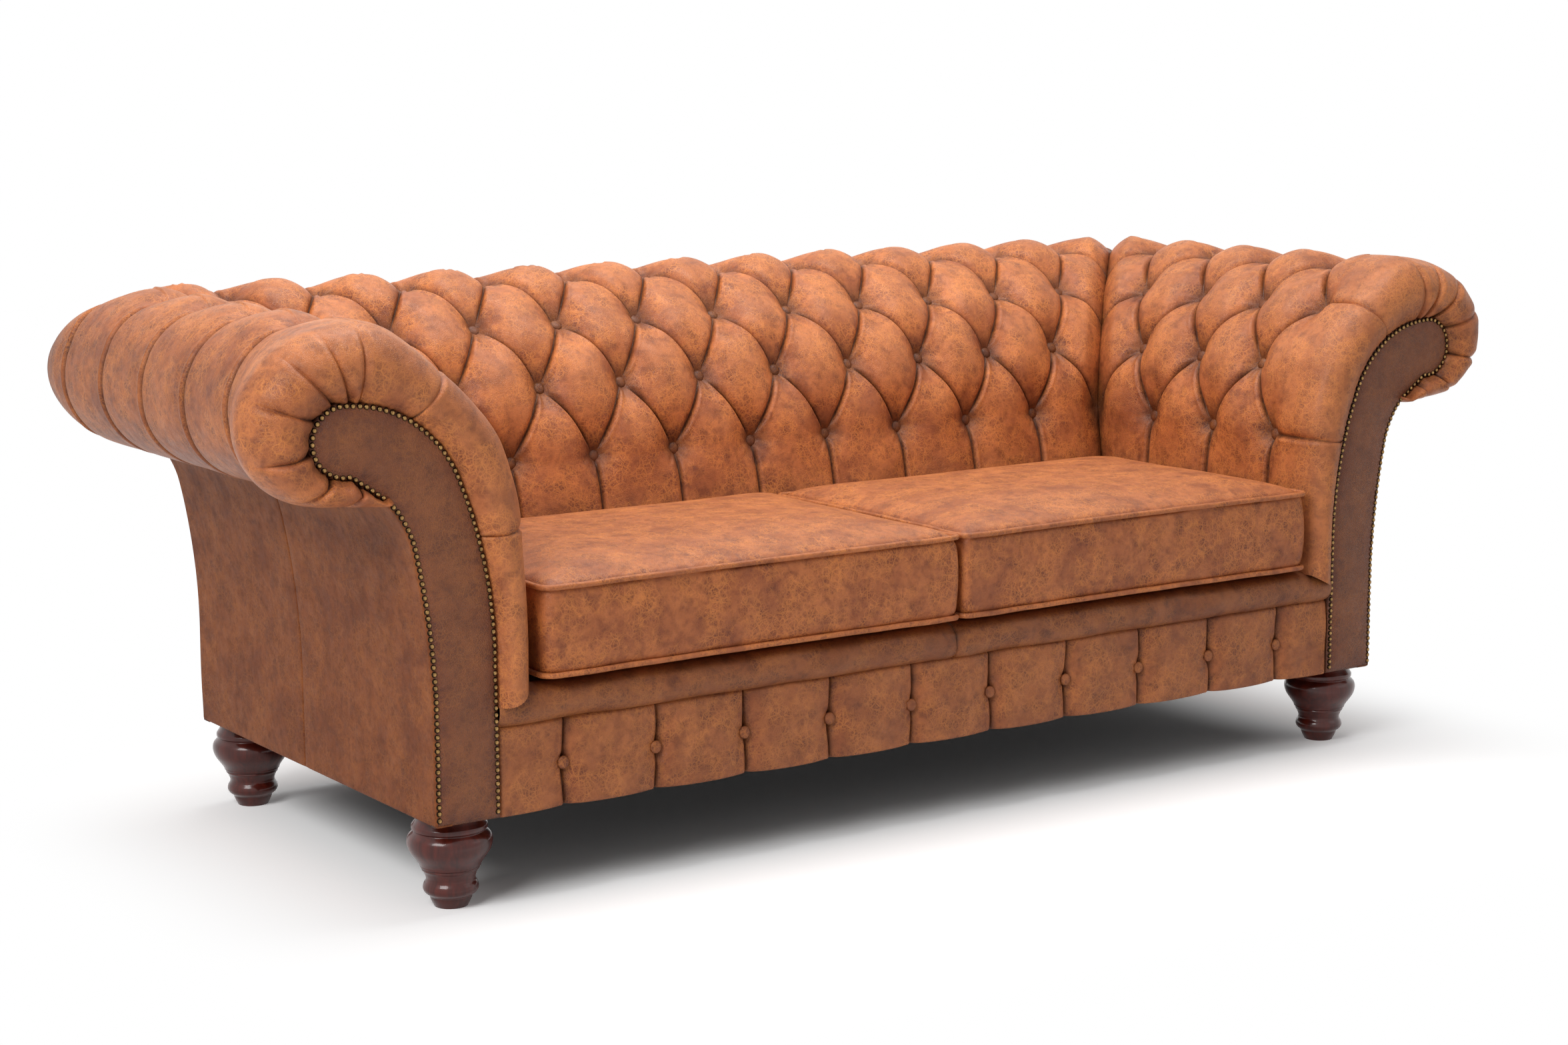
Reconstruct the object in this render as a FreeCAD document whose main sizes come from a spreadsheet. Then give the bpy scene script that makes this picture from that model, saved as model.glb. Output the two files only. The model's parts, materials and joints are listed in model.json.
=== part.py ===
import FreeCAD, Part
import Sketcher
import os
import re
from math import asin, atan2, cos, pi, radians, sin, sqrt, tan
from types import SimpleNamespace

# Chesterfield sofa with two loose seat cushions, in millimetres.
# The origin is on the floor under the middle, +X is right seen from the front, the front faces -Y.

SIZES = {
    "overall_half_width": 1090,
    # tufted inside back and arms: the corner is where the lowest button rows meet
    "corner_across": 722.5,
    "corner_depth": 115,
    "button_row": 504,
    "half_pitch": 72.25,
    "row_rise": 113,
    "back_lean": 10,
    "sweep_radius": 337,
    "sweep_out": 332,
    "sweep_up": 445.4,
    "roll_radius": 94,
    "roll_out": 214,
    "roll_up": 658,
    "cover_bottom": 293,
    "cover_thickness": 14,
    "diamond_crown": 30,
    "apron_crown": 20,
    "roll_crown": 14,
    "mitre_gap": 0.6,
    # scrolled arm fronts
    "facing_front": -418,
    "facing_back": -404,
    "facing_inner": 753,
    "facing_outer": 848,
    "leather_bottom": 124,
    "scroll_swell": 46,
    # timber frame
    "timber": 25,
    "rail_bottom": 126.5,
    "rail_top": 240,
    "rail_reach": 757,
    "front_rail_face": -381,
    "rear_rail_face": 205,
    "roll_rail_bottom": 586,
    "roll_rail_top": 616,
    "roll_rail_near": 150,
    "roll_rail_far": 225,
    "tack_rail_bottom": 300,
    "web_rail_top": 585,
    "panel_thickness": 3,
    "back_panel_rear": 337,
    "side_seam": -22,
    "arm_web_inner": 777,
    # suspension and seat deck
    "spring_level": 243,
    "spring_wire": 3.8,
    "deck_bottom": 250,
    "deck_top": 292.5,
    "deck_half_width": 756,
    "deck_front": -381.5,
    "deck_rear": 168.5,
    "lip_bottom": 241,
    "lip_top": 292,
    "lip_back": -382,
    "border_half_width": 751,
    "border_back": -381.5,
    "border_front": -404,
    "border_swell": 13,
    # loose seat cushions
    "cushion_inner": 4,
    "cushion_outer": 689,
    "cushion_front": -432,
    "cushion_rear": 50,
    "cushion_bottom": 293,
    "cushion_lower_welt": 306,
    "cushion_upper_welt": 423.5,
    "cushion_crown": 452,
    # turned feet
    "foot_across": 798,
    "front_foot_depth": -358,
    "rear_foot_depth": 277,
    "foot_height": 126.4,
    "bolt_radius": 4,
}

SEW_TOLERANCE = 0.001
MITRE_REACH = 900
# the tufting counts half pitches along a cover and button rows up it, both from 0
LATTICE_STEPS = 3
TOP_ROW = 3
BACK_LAST_ALONG = 20
ARM_LAST_ALONG = 6
# lattice steps that a cover runs on past the corner before the mitre cuts it
PAST_CORNER_STEPS = 14
UP = FreeCAD.Vector(0, 0, 1)

doc = FreeCAD.newDocument("chesterfield_sofa")
sheet = doc.addObject("Spreadsheet::Sheet", "Sizes")
for row, (alias, value) in enumerate(SIZES.items(), start=1):
    sheet.set(f"A{row}", alias)
    sheet.set(f"B{row}", str(value))
    sheet.setAlias(f"B{row}", alias)
doc.recompute()
mm = SimpleNamespace(**{alias: float(sheet.get(alias)) for alias in SIZES})
nodes = []


def vec(x, y, z=0.0):
    return FreeCAD.Vector(x, y, z)


def formula(text):
    """The sheet expression for words that name sizes, such as 'rail_top - timber'."""
    return re.sub(r"[a-z_]+[a-z]", lambda word: "Sizes." + word.group(0), str(text))


def number(text):
    return float(sheet.evalExpression(formula(text)))


def keep(piece):
    nodes.append(piece)
    return piece


# Straight pieces


def bar(label, x, y, z):
    """A straight rectangular piece; x, y and z are (low, high) pairs of size formulas."""
    piece = doc.addObject("Part::Box", label)
    for side, axis, (low, high) in zip(("Length", "Width", "Height"), "xyz", (x, y, z)):
        piece.setExpression(side, formula(f"({high}) - ({low})"))
        piece.setExpression(f"Placement.Base.{axis}", formula(low))
    return piece


def group(label, pieces):
    piece = doc.addObject("Part::Compound", label)
    piece.Links = pieces
    return piece


def mirrored(label, source):
    piece = doc.addObject("Part::Mirroring", label)
    piece.Source = source
    piece.Normal = vec(1, 0, 0)
    return piece


def solid_feature(label, shape):
    piece = doc.addObject("Part::Feature", label)
    piece.Shape = shape
    return piece


# Outlines: each stop is (x, y) at the end of a line or (x, y, bow) at the end of an arc, where bow
# is the arc's height, positive to the left of travel. The last stop joins the first with a line.


def arc_between(start, end, bow):
    middle = (start + end) * 0.5
    run = (end - start).normalize()
    crest = middle + vec(-run.y, run.x) * bow
    return Part.Arc(end, crest, start) if bow > 0 else Part.Arc(start, crest, end)


def outline_curves(stops):
    points = [vec(number(stop[0]), number(stop[1])) for stop in stops]
    curves = []
    for index, start in enumerate(points):
        following = (index + 1) % len(points)
        end = points[following]
        if len(stops[following]) == 3:
            curves.append(arc_between(start, end, stops[following][2]))
        else:
            curves.append(Part.LineSegment(start, end))
    return points, curves


def outline_face(stops, inset=0.0):
    wire = Part.Wire([curve.toShape() for curve in outline_curves(stops)[1]])
    if inset:
        wire = wire.makeOffset2D(-inset)
    return Part.Face(wire)


def draw_outline(sketch, stops):
    """Draws the outline and ties each corner to the sheet's sizes."""
    points, curves = outline_curves(stops)
    for curve in curves:
        sketch.addGeometry(curve, False)
    count = len(points)

    def end_at(edge, point):
        at_start = (sketch.Geometry[edge].StartPoint - point).Length < 1e-6
        return 1 if at_start else 2

    for index, point in enumerate(points):
        before = (index - 1) % count
        here = end_at(index, point)
        there = end_at(before, point)
        sketch.addConstraint(Sketcher.Constraint("Coincident", before, there, index, here))
        across, up = stops[index][:2]
        for kind, value, text in (("DistanceX", point.x, across), ("DistanceY", point.y, up)):
            tie = sketch.addConstraint(Sketcher.Constraint(kind, -1, 1, index, here, value))
            if isinstance(text, str):
                sketch.setExpression(f"Constraints[{tie}]", formula(text))
        if isinstance(curves[index], Part.Arc):
            radius = sketch.Geometry[index].Radius
            sketch.addConstraint(Sketcher.Constraint("Radius", index, radius))


def sketch_on(body, role, stops, offset="0"):
    sketch = body.newObject("Sketcher::SketchObject", body.Label + "_outline")
    plane = [item for item in body.Origin.OriginFeatures if item.Role == role][0]
    sketch.AttachmentSupport = [(plane, "")]
    sketch.MapMode = "FlatFace"
    sketch.setExpression("AttachmentOffset.Base.z", formula(offset))
    draw_outline(sketch, stops)
    return sketch


def plate(label, role, stops, offset, thickness):
    """A flat or long piece of one outline; it grows along the plane's own normal."""
    body = doc.addObject("PartDesign::Body", label)
    sketch = sketch_on(body, role, stops, offset)
    pad = body.newObject("PartDesign::Pad", label + "_pad")
    pad.Profile = sketch
    pad.setExpression("Length", formula(thickness))
    body.Tip = pad
    return body


# Outline of the scrolled arm front in X and Z, followed by the nails
SCROLL = [
    ("facing_inner", "leather_bottom"),
    ("facing_inner", 340),
    (800, 580, 11.9),
    (950, 685.5, 26.9),
    (955, 588, 57),
    (907, 554),
    (872, 490, -5.3),
    ("facing_outer", 263, -6),
    ("facing_outer", "leather_bottom"),
]


# Section of the tufted surfaces: a straight apron under the lowest buttons, a hollow sweep and a roll

SWEEP_ANGLE = radians(180 - mm.back_lean)
ROLL_ANGLE = radians(90) + asin((mm.sweep_out - mm.roll_out) / (mm.sweep_radius - mm.roll_radius))
ROLL_START = mm.sweep_radius * (SWEEP_ANGLE - ROLL_ANGLE)
ARM = SimpleNamespace(lean=0.0, bottom=mm.cover_bottom, roll_end=radians(-103))
BACK = SimpleNamespace(lean=radians(mm.back_lean), bottom=mm.cover_bottom + 3, roll_end=radians(-82))


def pit(run, side):
    """Depth and height of the button level, run mm up the section from the lowest buttons, with the
    outward direction there."""
    if run < 0:
        height = mm.button_row + run * cos(side.lean)
        return (run * sin(side.lean), height, -cos(side.lean), sin(side.lean))
    if run < ROLL_START:
        angle = SWEEP_ANGLE - run / mm.sweep_radius
        out, up, radius = mm.sweep_out, mm.sweep_up, mm.sweep_radius
    else:
        angle = ROLL_ANGLE - (run - ROLL_START) / mm.roll_radius
        out, up, radius = mm.roll_out, mm.roll_up, mm.roll_radius
    return (out + radius * cos(angle), up + radius * sin(angle), cos(angle), sin(angle))


def section_end(side):
    return ROLL_START + (ROLL_ANGLE - side.roll_end) * mm.roll_radius


def section_start(side):
    return -(mm.button_row - side.bottom) / cos(side.lean)


def section_runs(side):
    """Rows of the cover: the apron, the buttoned rows in equal steps, then over the roll."""
    start, end = section_start(side), section_end(side)
    buttoned = TOP_ROW * LATTICE_STEPS
    runs = [start, start / 2]
    runs += [mm.row_rise * step / LATTICE_STEPS for step in range(buttoned + 1)]
    top = runs[-1]
    roll_steps = 6
    return runs + [top + (end - top) * step / roll_steps for step in range(1, roll_steps + 1)]


def diamond_height(along, rows):
    """Padding over the button level; buttons stand where along + rows is even, pleats between them."""
    flute_shape, diamond_shape = 1.2, 0.6
    if rows < 0:
        return mm.apron_crown * abs(sin(pi * along / 2)) ** flute_shape
    if rows > TOP_ROW:
        crown = mm.roll_crown + (mm.diamond_crown - mm.roll_crown) * max(0.0, TOP_ROW + 1 - rows)
        return crown * abs(sin(pi * (along + 1) / 2)) ** flute_shape
    crown = mm.apron_crown + (mm.diamond_crown - mm.apron_crown) * min(1.0, rows)
    first = abs(sin(pi * (along + rows) / 2))
    second = abs(sin(pi * (along - rows) / 2))
    return crown * (first * second) ** diamond_shape


def pleat_rises(along, rows):
    """True where the pleat in this lattice cell climbs away from the corner."""
    return (int(along // 1) + int(rows // 1)) % 2 == 0


def fade_to_mitre(distance):
    """Share of its padding that the cover keeps at a distance from the mitre."""
    full = 55
    return sqrt(min(1.0, max(0.0, distance) / full))


# Solids closed by flat faces


def flat_face(points):
    return Part.Face(Part.makePolygon(points + [points[0]]))


def closed_solid(faces):
    skin = Part.Compound(faces)
    skin.sewShape(SEW_TOLERANCE)
    solid = Part.Solid(skin.Shells[0])
    if solid.Volume < 0:
        solid.reverse()
    return solid


def padded_skin(columns, near_inner, far_inner, rises):
    """A cover from its outer columns of points and the inner points behind its two ends."""
    last_row = len(near_inner) - 1
    faces = []
    for column in range(len(columns) - 1):
        for row in range(last_row):
            low, high = columns[column][row], columns[column][row + 1]
            next_low, next_high = columns[column + 1][row], columns[column + 1][row + 1]
            if rises(column, row):
                corners = ((low, next_low, next_high), (low, next_high, high))
            else:
                corners = ((low, next_low, high), (next_low, next_high, high))
            faces += [flat_face(list(corner)) for corner in corners]
    for row in range(last_row):
        near, near_up = near_inner[row], near_inner[row + 1]
        far, far_up = far_inner[row], far_inner[row + 1]
        faces.append(flat_face([near, near_up, far_up, far]))
        faces.append(flat_face([columns[0][row], columns[0][row + 1], near_up, near]))
        faces.append(flat_face([columns[-1][row], columns[-1][row + 1], far_up, far]))
    for row in (0, last_row):
        faces.append(flat_face([column[row] for column in columns] + [far_inner[row], near_inner[row]]))
    return closed_solid(faces)


# The mitre between back and arm is upright above the lowest buttons and follows the back's lean below


def mitre_wedge(side_of_back, clearance):
    """The space on one side of the right-hand mitre, and clearance past it."""
    slope = tan(radians(mm.back_lean)) / sqrt(2)
    low, high = 200.0, 820.0
    reach = -MITRE_REACH if side_of_back else MITRE_REACH
    edge = clearance if side_of_back else -clearance
    stations = [(reach, low), (edge + slope * (mm.button_row - low), low), (edge, mm.button_row),
                (edge, high), (reach, high)]
    across = vec(1, -1).normalize()
    along = vec(1, 1).normalize()
    corner = vec(mm.corner_across, mm.corner_depth) - along * MITRE_REACH
    points = [corner + across * side + UP * height for side, height in stations]
    return flat_face(points).extrude(along * MITRE_REACH * 2)


def mirror_shape(shape):
    return shape.mirror(vec(0, 0, 0), vec(1, 0, 0))


def cut_to_mitres(shape, clearance):
    """A back piece, trimmed against both arms."""
    wedge = mitre_wedge(False, clearance)
    return shape.cut(wedge).cut(mirror_shape(wedge))


def back_point(along, run, offset):
    depth, height, out, up = pit(run, BACK)
    across = mm.corner_across - mm.half_pitch * along
    return vec(across, mm.corner_depth + depth + out * offset, height + up * offset)


def back_padding(along, run):
    depth, height = pit(run, BACK)[:2]
    past_corner = max(-along, along - BACK_LAST_ALONG) * mm.half_pitch
    to_mitre = depth - past_corner - tan(BACK.lean) * min(0.0, height - mm.button_row)
    return diamond_height(along, run / mm.row_rise) * fade_to_mitre(to_mitre)


def back_inside_cover():
    """Diamond-buttoned cover of the inside back and its roll."""
    runs = section_runs(BACK)
    steps = range(-PAST_CORNER_STEPS, BACK_LAST_ALONG * LATTICE_STEPS + PAST_CORNER_STEPS + 1)
    columns = []
    for step in steps:
        along = step / LATTICE_STEPS
        columns.append([back_point(along, run, back_padding(along, run)) for run in runs])
    first, last = steps[0] / LATTICE_STEPS, steps[-1] / LATTICE_STEPS
    near_inner = [back_point(first, run, -mm.cover_thickness) for run in runs]
    far_inner = [back_point(last, run, -mm.cover_thickness) for run in runs]

    def rises(column, row):
        along = (steps[column] + 0.5) / LATTICE_STEPS
        return pleat_rises(along, (runs[row] + runs[row + 1]) / 2 / mm.row_rise)

    skin = padded_skin(columns, near_inner, far_inner, rises)
    return solid_feature("back_inside_cover", cut_to_mitres(skin, mm.mitre_gap / 2))


# Right arm

# depth of each ring of the swollen arm front, and its share of the way in from the padding's crown
# to the nails
FRONT_RINGS = [(-345, 0), (-385, 0), (-415, 0.1), (-432, 0.34), (-437, 0.55), (-430, 0.82)]


def arm_point(across_offset, depth, run):
    out, height, side, up = pit(run, ARM)
    return vec(mm.corner_across + out + side * across_offset, depth, height + up * across_offset)


def arm_padding(along, run):
    rows = run / mm.row_rise
    to_mitre = pit(run, ARM)[0] + mm.half_pitch * along
    to_mitre += tan(BACK.lean) * min(0.0, pit(run, ARM)[1] - mm.button_row)
    if along > ARM_LAST_ALONG and rows < 0:
        return mm.apron_crown * min(1.0, (along - ARM_LAST_ALONG) * 2) * min(1.0, -rows * 3)
    return diamond_height(min(along, ARM_LAST_ALONG), rows) * fade_to_mitre(to_mitre)


def scroll_swell(run, depth):
    """The padded ring of the arm front swells outwards round the roll."""
    if run < ROLL_START:
        return 0.0
    out, up = pit(run, ARM)[2:]
    behind, full = -246.0, -385.0
    ramp = min(1.0, max(0.0, (depth - behind) / (full - behind)))
    top = atan2(up, out)
    quarter = cos(top) ** 2 if top < pi / 2 else 0.0
    return mm.scroll_swell * quarter * ramp * ramp * (3 - 2 * ramp)


def distance_to_scroll(point, direction, corners):
    """How far a line from the point runs before it meets the scroll outline."""
    nearest = None
    for start, end in zip(corners, corners[1:] + corners[:1]):
        edge = end - start
        turn = direction.x * edge.y - direction.y * edge.x
        if abs(turn) < 1e-9:
            continue
        gap = start - point
        ahead = (gap.x * edge.y - gap.y * edge.x) / turn
        share = (gap.x * direction.y - gap.y * direction.x) / turn
        if ahead > 0 and 0 <= share <= 1 and (nearest is None or ahead < nearest):
            nearest = ahead
    return nearest


def front_ring_columns(runs, corners):
    """Columns of the arm cover from its last button to the nail line."""
    columns = []
    insets = []
    for run in runs:
        out, height, side, up = pit(run, ARM)
        start = vec(mm.corner_across + out, height)
        inset = distance_to_scroll(start, vec(-side, -up), corners)
        started_inside = inset > mm.roll_radius
        insets.append(mm.cover_thickness if started_inside else inset)
    along_full = ARM_LAST_ALONG + 1
    for depth, share in FRONT_RINGS:
        column = []
        for run, inset in zip(runs, insets):
            crown = arm_padding(along_full, run) + scroll_swell(run, depth)
            column.append(arm_point(crown - share * (crown + inset), depth, run))
        columns.append(column)
    past_nails = 4
    for depth in (mm.facing_front, mm.facing_back):
        columns.append([arm_point(-inset - past_nails, depth, run) for run, inset in zip(runs, insets)])
    return columns


def scroll_corners(inset=0.0, deflection=0.5):
    """The scroll outline as straight steps."""
    wire = outline_face(SCROLL, inset).OuterWire
    corners = []
    for edge in wire.OrderedEdges:
        steps = edge.discretize(Deflection=deflection)
        if edge.Orientation == "Reversed":
            steps.reverse()
        corners += [vec(point.x, point.y) for point in steps[:-1]]
    return corners


def stand_up(shape, depth):
    """Turns a flat XY outline shape into the XZ plane at the given depth."""
    shape = shape.copy()
    shape.rotate(vec(0, 0, 0), vec(1, 0, 0), 90)
    shape.translate(vec(0, depth, 0))
    return shape


def scroll_block(front, back, inset):
    """A prism of the scroll outline between two depths."""
    return stand_up(outline_face(SCROLL, inset), back).extrude(vec(0, front - back, 0))


def arm_inside_cover():
    """Buttoned cover of the right arm, its roll and the swollen ring round the facing."""
    runs = section_runs(ARM)
    steps = range(-PAST_CORNER_STEPS, ARM_LAST_ALONG * LATTICE_STEPS + 1)
    columns = []
    for step in steps:
        along = step / LATTICE_STEPS
        depth = mm.corner_depth - mm.half_pitch * along
        swells = [arm_padding(along, run) + scroll_swell(run, depth) for run in runs]
        columns.append([arm_point(swell, depth, run) for swell, run in zip(swells, runs)])
    columns += front_ring_columns(runs, scroll_corners())
    rear = mm.corner_depth - mm.half_pitch * steps[0] / LATTICE_STEPS
    near_inner = [arm_point(-mm.cover_thickness, rear, run) for run in runs]
    far_inner = [arm_point(-mm.cover_thickness, mm.facing_back, run) for run in runs]

    def rises(column, row):
        along = (steps[0] + column + 0.5) / LATTICE_STEPS
        return pleat_rises(along, (runs[row] + runs[row + 1]) / 2 / mm.row_rise)

    skin = padded_skin(columns, near_inner, far_inner, rises)
    skin = skin.cut(mitre_wedge(True, mm.mitre_gap / 2))
    slot = scroll_block(mm.facing_front - 30, mm.facing_back, -0.25)
    return solid_feature("right_arm_inside_cover", skin.cut(slot))


# Covered buttons, each a low six-sided dome with its point in the pit


def button_solid(seat, outward):
    rim_radius, rim_level, top_level, point_level = 10.0, 6.4, 9.0, 0.6
    across = outward.cross(UP)
    if across.Length < 0.1:
        across = vec(1, 0)
    across.normalize()
    second = outward.cross(across)
    rim = []
    for corner in range(6):
        angle = pi / 3 * corner
        radial = across * cos(angle) * rim_radius + second * sin(angle) * rim_radius
        rim.append(seat + radial + outward * rim_level)
    faces = []
    for start, end in zip(rim, rim[1:] + rim[:1]):
        faces.append(flat_face([start, end, seat + outward * top_level]))
        faces.append(flat_face([end, start, seat + outward * point_level]))
    return closed_solid(faces)


def lattice(lows, highs):
    """Button places as (along, row) with along + row even, between the ends given for each row."""
    for row, (low, high) in enumerate(zip(lows, highs)):
        for along in range(low, high + 1, 2):
            yield along, row


def back_buttons():
    solids = []
    for along, row in lattice((2, 1, 0, -1), (18, 19, 20, 21)):
        run = row * mm.row_rise
        out, up = pit(run, BACK)[2:]
        solids.append(button_solid(back_point(along, run, 0), vec(0, out, up)))
    return solid_feature("back_buttons", Part.makeCompound(solids))


def arm_buttons():
    solids = []
    for along, row in lattice((2, 1, 0, -1), (6, 5, 6, 5)):
        run = row * mm.row_rise
        out, up = pit(run, ARM)[2:]
        depth = mm.corner_depth - mm.half_pitch * along
        solids.append(button_solid(arm_point(0, depth, run), vec(out, 0, up)))
    return solid_feature("right_arm_buttons", Part.makeCompound(solids))


def border_buttons():
    solids = []
    middle_height = 182
    for place in range(10):
        across = (place - 4.5) * mm.half_pitch * 2
        solids.append(button_solid(vec(across, mm.border_front, middle_height), vec(0, -1)))
    return solid_feature("front_border_buttons", Part.makeCompound(solids))


# Nail trim along the facing's edge


def nail_solid(middle):
    reach, rise, sides = 4.2, 2.4, 4
    seat = mm.facing_front - 0.05
    rim = []
    for corner in range(sides):
        angle = 2 * pi * corner / sides
        rim.append(vec(middle.x + reach * cos(angle), seat, middle.y + reach * sin(angle)))
    crown = vec(middle.x, seat - rise, middle.y)
    faces = [flat_face(rim)]
    faces += [flat_face([start, end, crown]) for start, end in zip(rim, rim[1:] + rim[:1])]
    return closed_solid(faces)


def nail_trim():
    pitch, inset = 9.6, 4.6
    wire = Part.Wire([curve.toShape() for curve in outline_curves(SCROLL)[1]]).makeOffset2D(-inset)
    lowest = mm.leather_bottom + 2 * inset
    solids = [nail_solid(point) for point in wire.discretize(Distance=pitch) if point.y > lowest]
    return solid_feature("right_nail_trim", Part.makeCompound(solids))


# Foam under the tufted covers


def foam_block(side, length):
    """Foam behind a tufted cover, in depth along X and swept along Y; its roll lies on the top rail."""
    inset, rear = mm.cover_thickness + 0.6, 52.0
    points = []
    for run in section_runs(side):
        depth, height, out, up = pit(run, side)
        points.append(vec(depth - out * inset, height - up * inset))
    points += [vec(rear, points[-1].y), vec(rear, points[0].y)]
    block = stand_up(flat_face(points), 0).extrude(vec(0, length, 0))
    reach = 2 * mm.roll_out
    below = Part.makeBox(reach, length, mm.tack_rail_bottom, vec(-reach / 2, 0, 0))
    under_roll = Part.makeBox(reach, length, mm.roll_rail_bottom + 0.5, vec(rear, 0, 0))
    rail_width, rail_height = mm.roll_rail_far - mm.roll_rail_near, mm.roll_rail_top - mm.roll_rail_bottom
    rail_way = Part.makeBox(rail_width + 1, length, rail_height + 1,
                            vec(mm.roll_rail_near - 0.5, 0, mm.roll_rail_bottom - 0.5))
    return block.cut(below).cut(under_roll).cut(rail_way)


def back_foam():
    half = mm.overall_half_width
    block = foam_block(BACK, 2 * half)
    block.rotate(vec(0, 0, 0), UP, 90)
    block.translate(vec(half, mm.corner_depth, 0))
    web_rails = number("arm_web_inner") - 1
    for across in (-half, web_rails):
        block = block.cut(Part.makeBox(half - web_rails, 200, mm.roll_rail_bottom, vec(across, 0, 0)))
    return solid_feature("back_foam", cut_to_mitres(block, 0.6))


def arm_foam():
    front = mm.front_rail_face
    block = foam_block(ARM, mm.back_panel_rear + 120 - front)
    block.translate(vec(mm.corner_across, front, 0))
    return solid_feature("right_arm_foam", block.cut(mitre_wedge(True, 0.6)))


# Seat suspension


def beside_path(points, distance):
    """The line that runs at one distance beside a bent path, with mitred corners."""
    normals = []
    for start, end in zip(points, points[1:]):
        run = (end - start).normalize()
        normals.append(vec(-run.y, run.x))
    line = [points[0] + normals[0] * distance]
    for point, before, after in zip(points[1:-1], normals, normals[1:]):
        line.append(point + (before + after) * (distance / (1 + before.dot(after))))
    return line + [points[-1] + normals[-1] * distance]


def seat_spring(middle):
    """One sinuous spring: a flat zigzag of square-cut wire between the front and rear rails."""
    half_width, turns = 25.0, 6
    front, rear = mm.front_rail_face + 10, mm.rear_rail_face + 12
    pitch = (rear - front) / turns
    points = [vec(middle, front)]
    for turn in range(turns):
        side = half_width if turn % 2 else -half_width
        depth = front + pitch * turn
        points += [vec(middle + side, depth + pitch * 0.15), vec(middle + side, depth + pitch * 0.85)]
    points.append(vec(middle, rear))
    band = beside_path(points, mm.spring_wire / 2) + beside_path(points, -mm.spring_wire / 2)[::-1]
    band = [point + UP * mm.spring_level for point in band]
    return flat_face(band).extrude(UP * mm.spring_wire)


def spring_places():
    first, pitch = -595, 170
    return [first + pitch * place for place in range(8)]


def spring_clip(middle, outer, inward):
    """A folded steel clip that holds a spring's end on its rail; inward is 1 or -1 along Y."""
    level, gauge, length, width = mm.rail_top, 2.0, 16.0, 16.0
    lip = mm.spring_level + mm.spring_wire + 0.3
    top = lip + gauge
    profile = [(0, level), (gauge, level), (gauge, lip), (length, lip), (length, top), (0, top)]
    points = [vec(middle - width / 2, outer + inward * reach, height) for reach, height in profile]
    return flat_face(points).extrude(vec(width, 0, 0))


def suspension():
    springs = [seat_spring(middle) for middle in spring_places()]
    keep(solid_feature("seat_springs", Part.makeCompound(springs)))
    clips = []
    for middle in spring_places():
        clips.append(spring_clip(middle, mm.front_rail_face + 6, 1))
        clips.append(spring_clip(middle, mm.rear_rail_face + 16, -1))
    keep(solid_feature("spring_clips", Part.makeCompound(clips)))


def webbing():
    """Straps tacked to the front faces of the back rails and to the arms' rails."""
    strap, thin = 50, 1.5
    straps = []
    for place in range(8):
        low = -595 + 170 * place - strap / 2
        straps.append(bar(f"back_strap_{place}", (low, low + strap), (168, 168 + thin), (305, 575)))
    keep(group("back_webbing", straps))
    straps = []
    for place in range(3):
        low = -330 + 150 * place
        straps.append(bar(f"arm_strap_{place}", (775, 775 + thin), (low, low + strap), (305, 575)))
        straps.append(bar(f"left_arm_strap_{place}", (-775 - thin, -775), (low, low + strap), (305, 575)))
    keep(group("arm_webbing", straps))


# Timber frame


def seat_frame():
    tall = ("rail_bottom", "rail_top")
    front = ("front_rail_face", "front_rail_face + timber")
    rear = ("rear_rail_face", "rear_rail_face + timber")
    keep(bar("front_seat_rail", ("-rail_reach", "rail_reach"), front, tall))
    keep(bar("rear_seat_rail", ("-rail_reach", "rail_reach"), rear, tall))
    side = ("front_rail_face + 1", 254)
    right = keep(bar("right_seat_rail", ("rail_reach", "rail_reach + timber"), side, tall))
    keep(mirrored("left_seat_rail", right))
    between = ("front_rail_face + timber", "rear_rail_face")
    keep(bar("centre_seat_rail", ("-timber / 2", "timber / 2"), between, (130, 200)))
    corner_blocks()
    foot_blocks()


def corner_blocks():
    leg, high = 90, 73.5
    blocks = []
    for name, depth, turn in (("front", "front_rail_face + timber", 1), ("rear", "rear_rail_face", -1)):
        rail = number(depth)
        stops = [("rail_reach", depth), ("rail_reach", rail + turn * leg), (f"rail_reach - {leg}", depth)]
        block = plate(name + "_corner_block", "XY_Plane", stops, "rail_bottom", high)
        blocks += [block, mirrored("left_" + name + "_corner_block", block)]
    keep(group("corner_blocks", blocks))


def foot_blocks():
    """The blocks that the feet's bolts are screwed into."""
    across = ("rail_reach + timber + 0.5", "facing_outer - 6")
    high = ("rail_bottom", "rail_bottom + 43.5")
    front = bar("front_foot_block", across, (-381, -330), high)
    rear = bar("rear_foot_block", across, (255, 305), high)
    left = [mirrored("left_front_foot_block", front), mirrored("left_rear_foot_block", rear)]
    keep(group("foot_blocks", [front, rear] + left))


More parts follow.
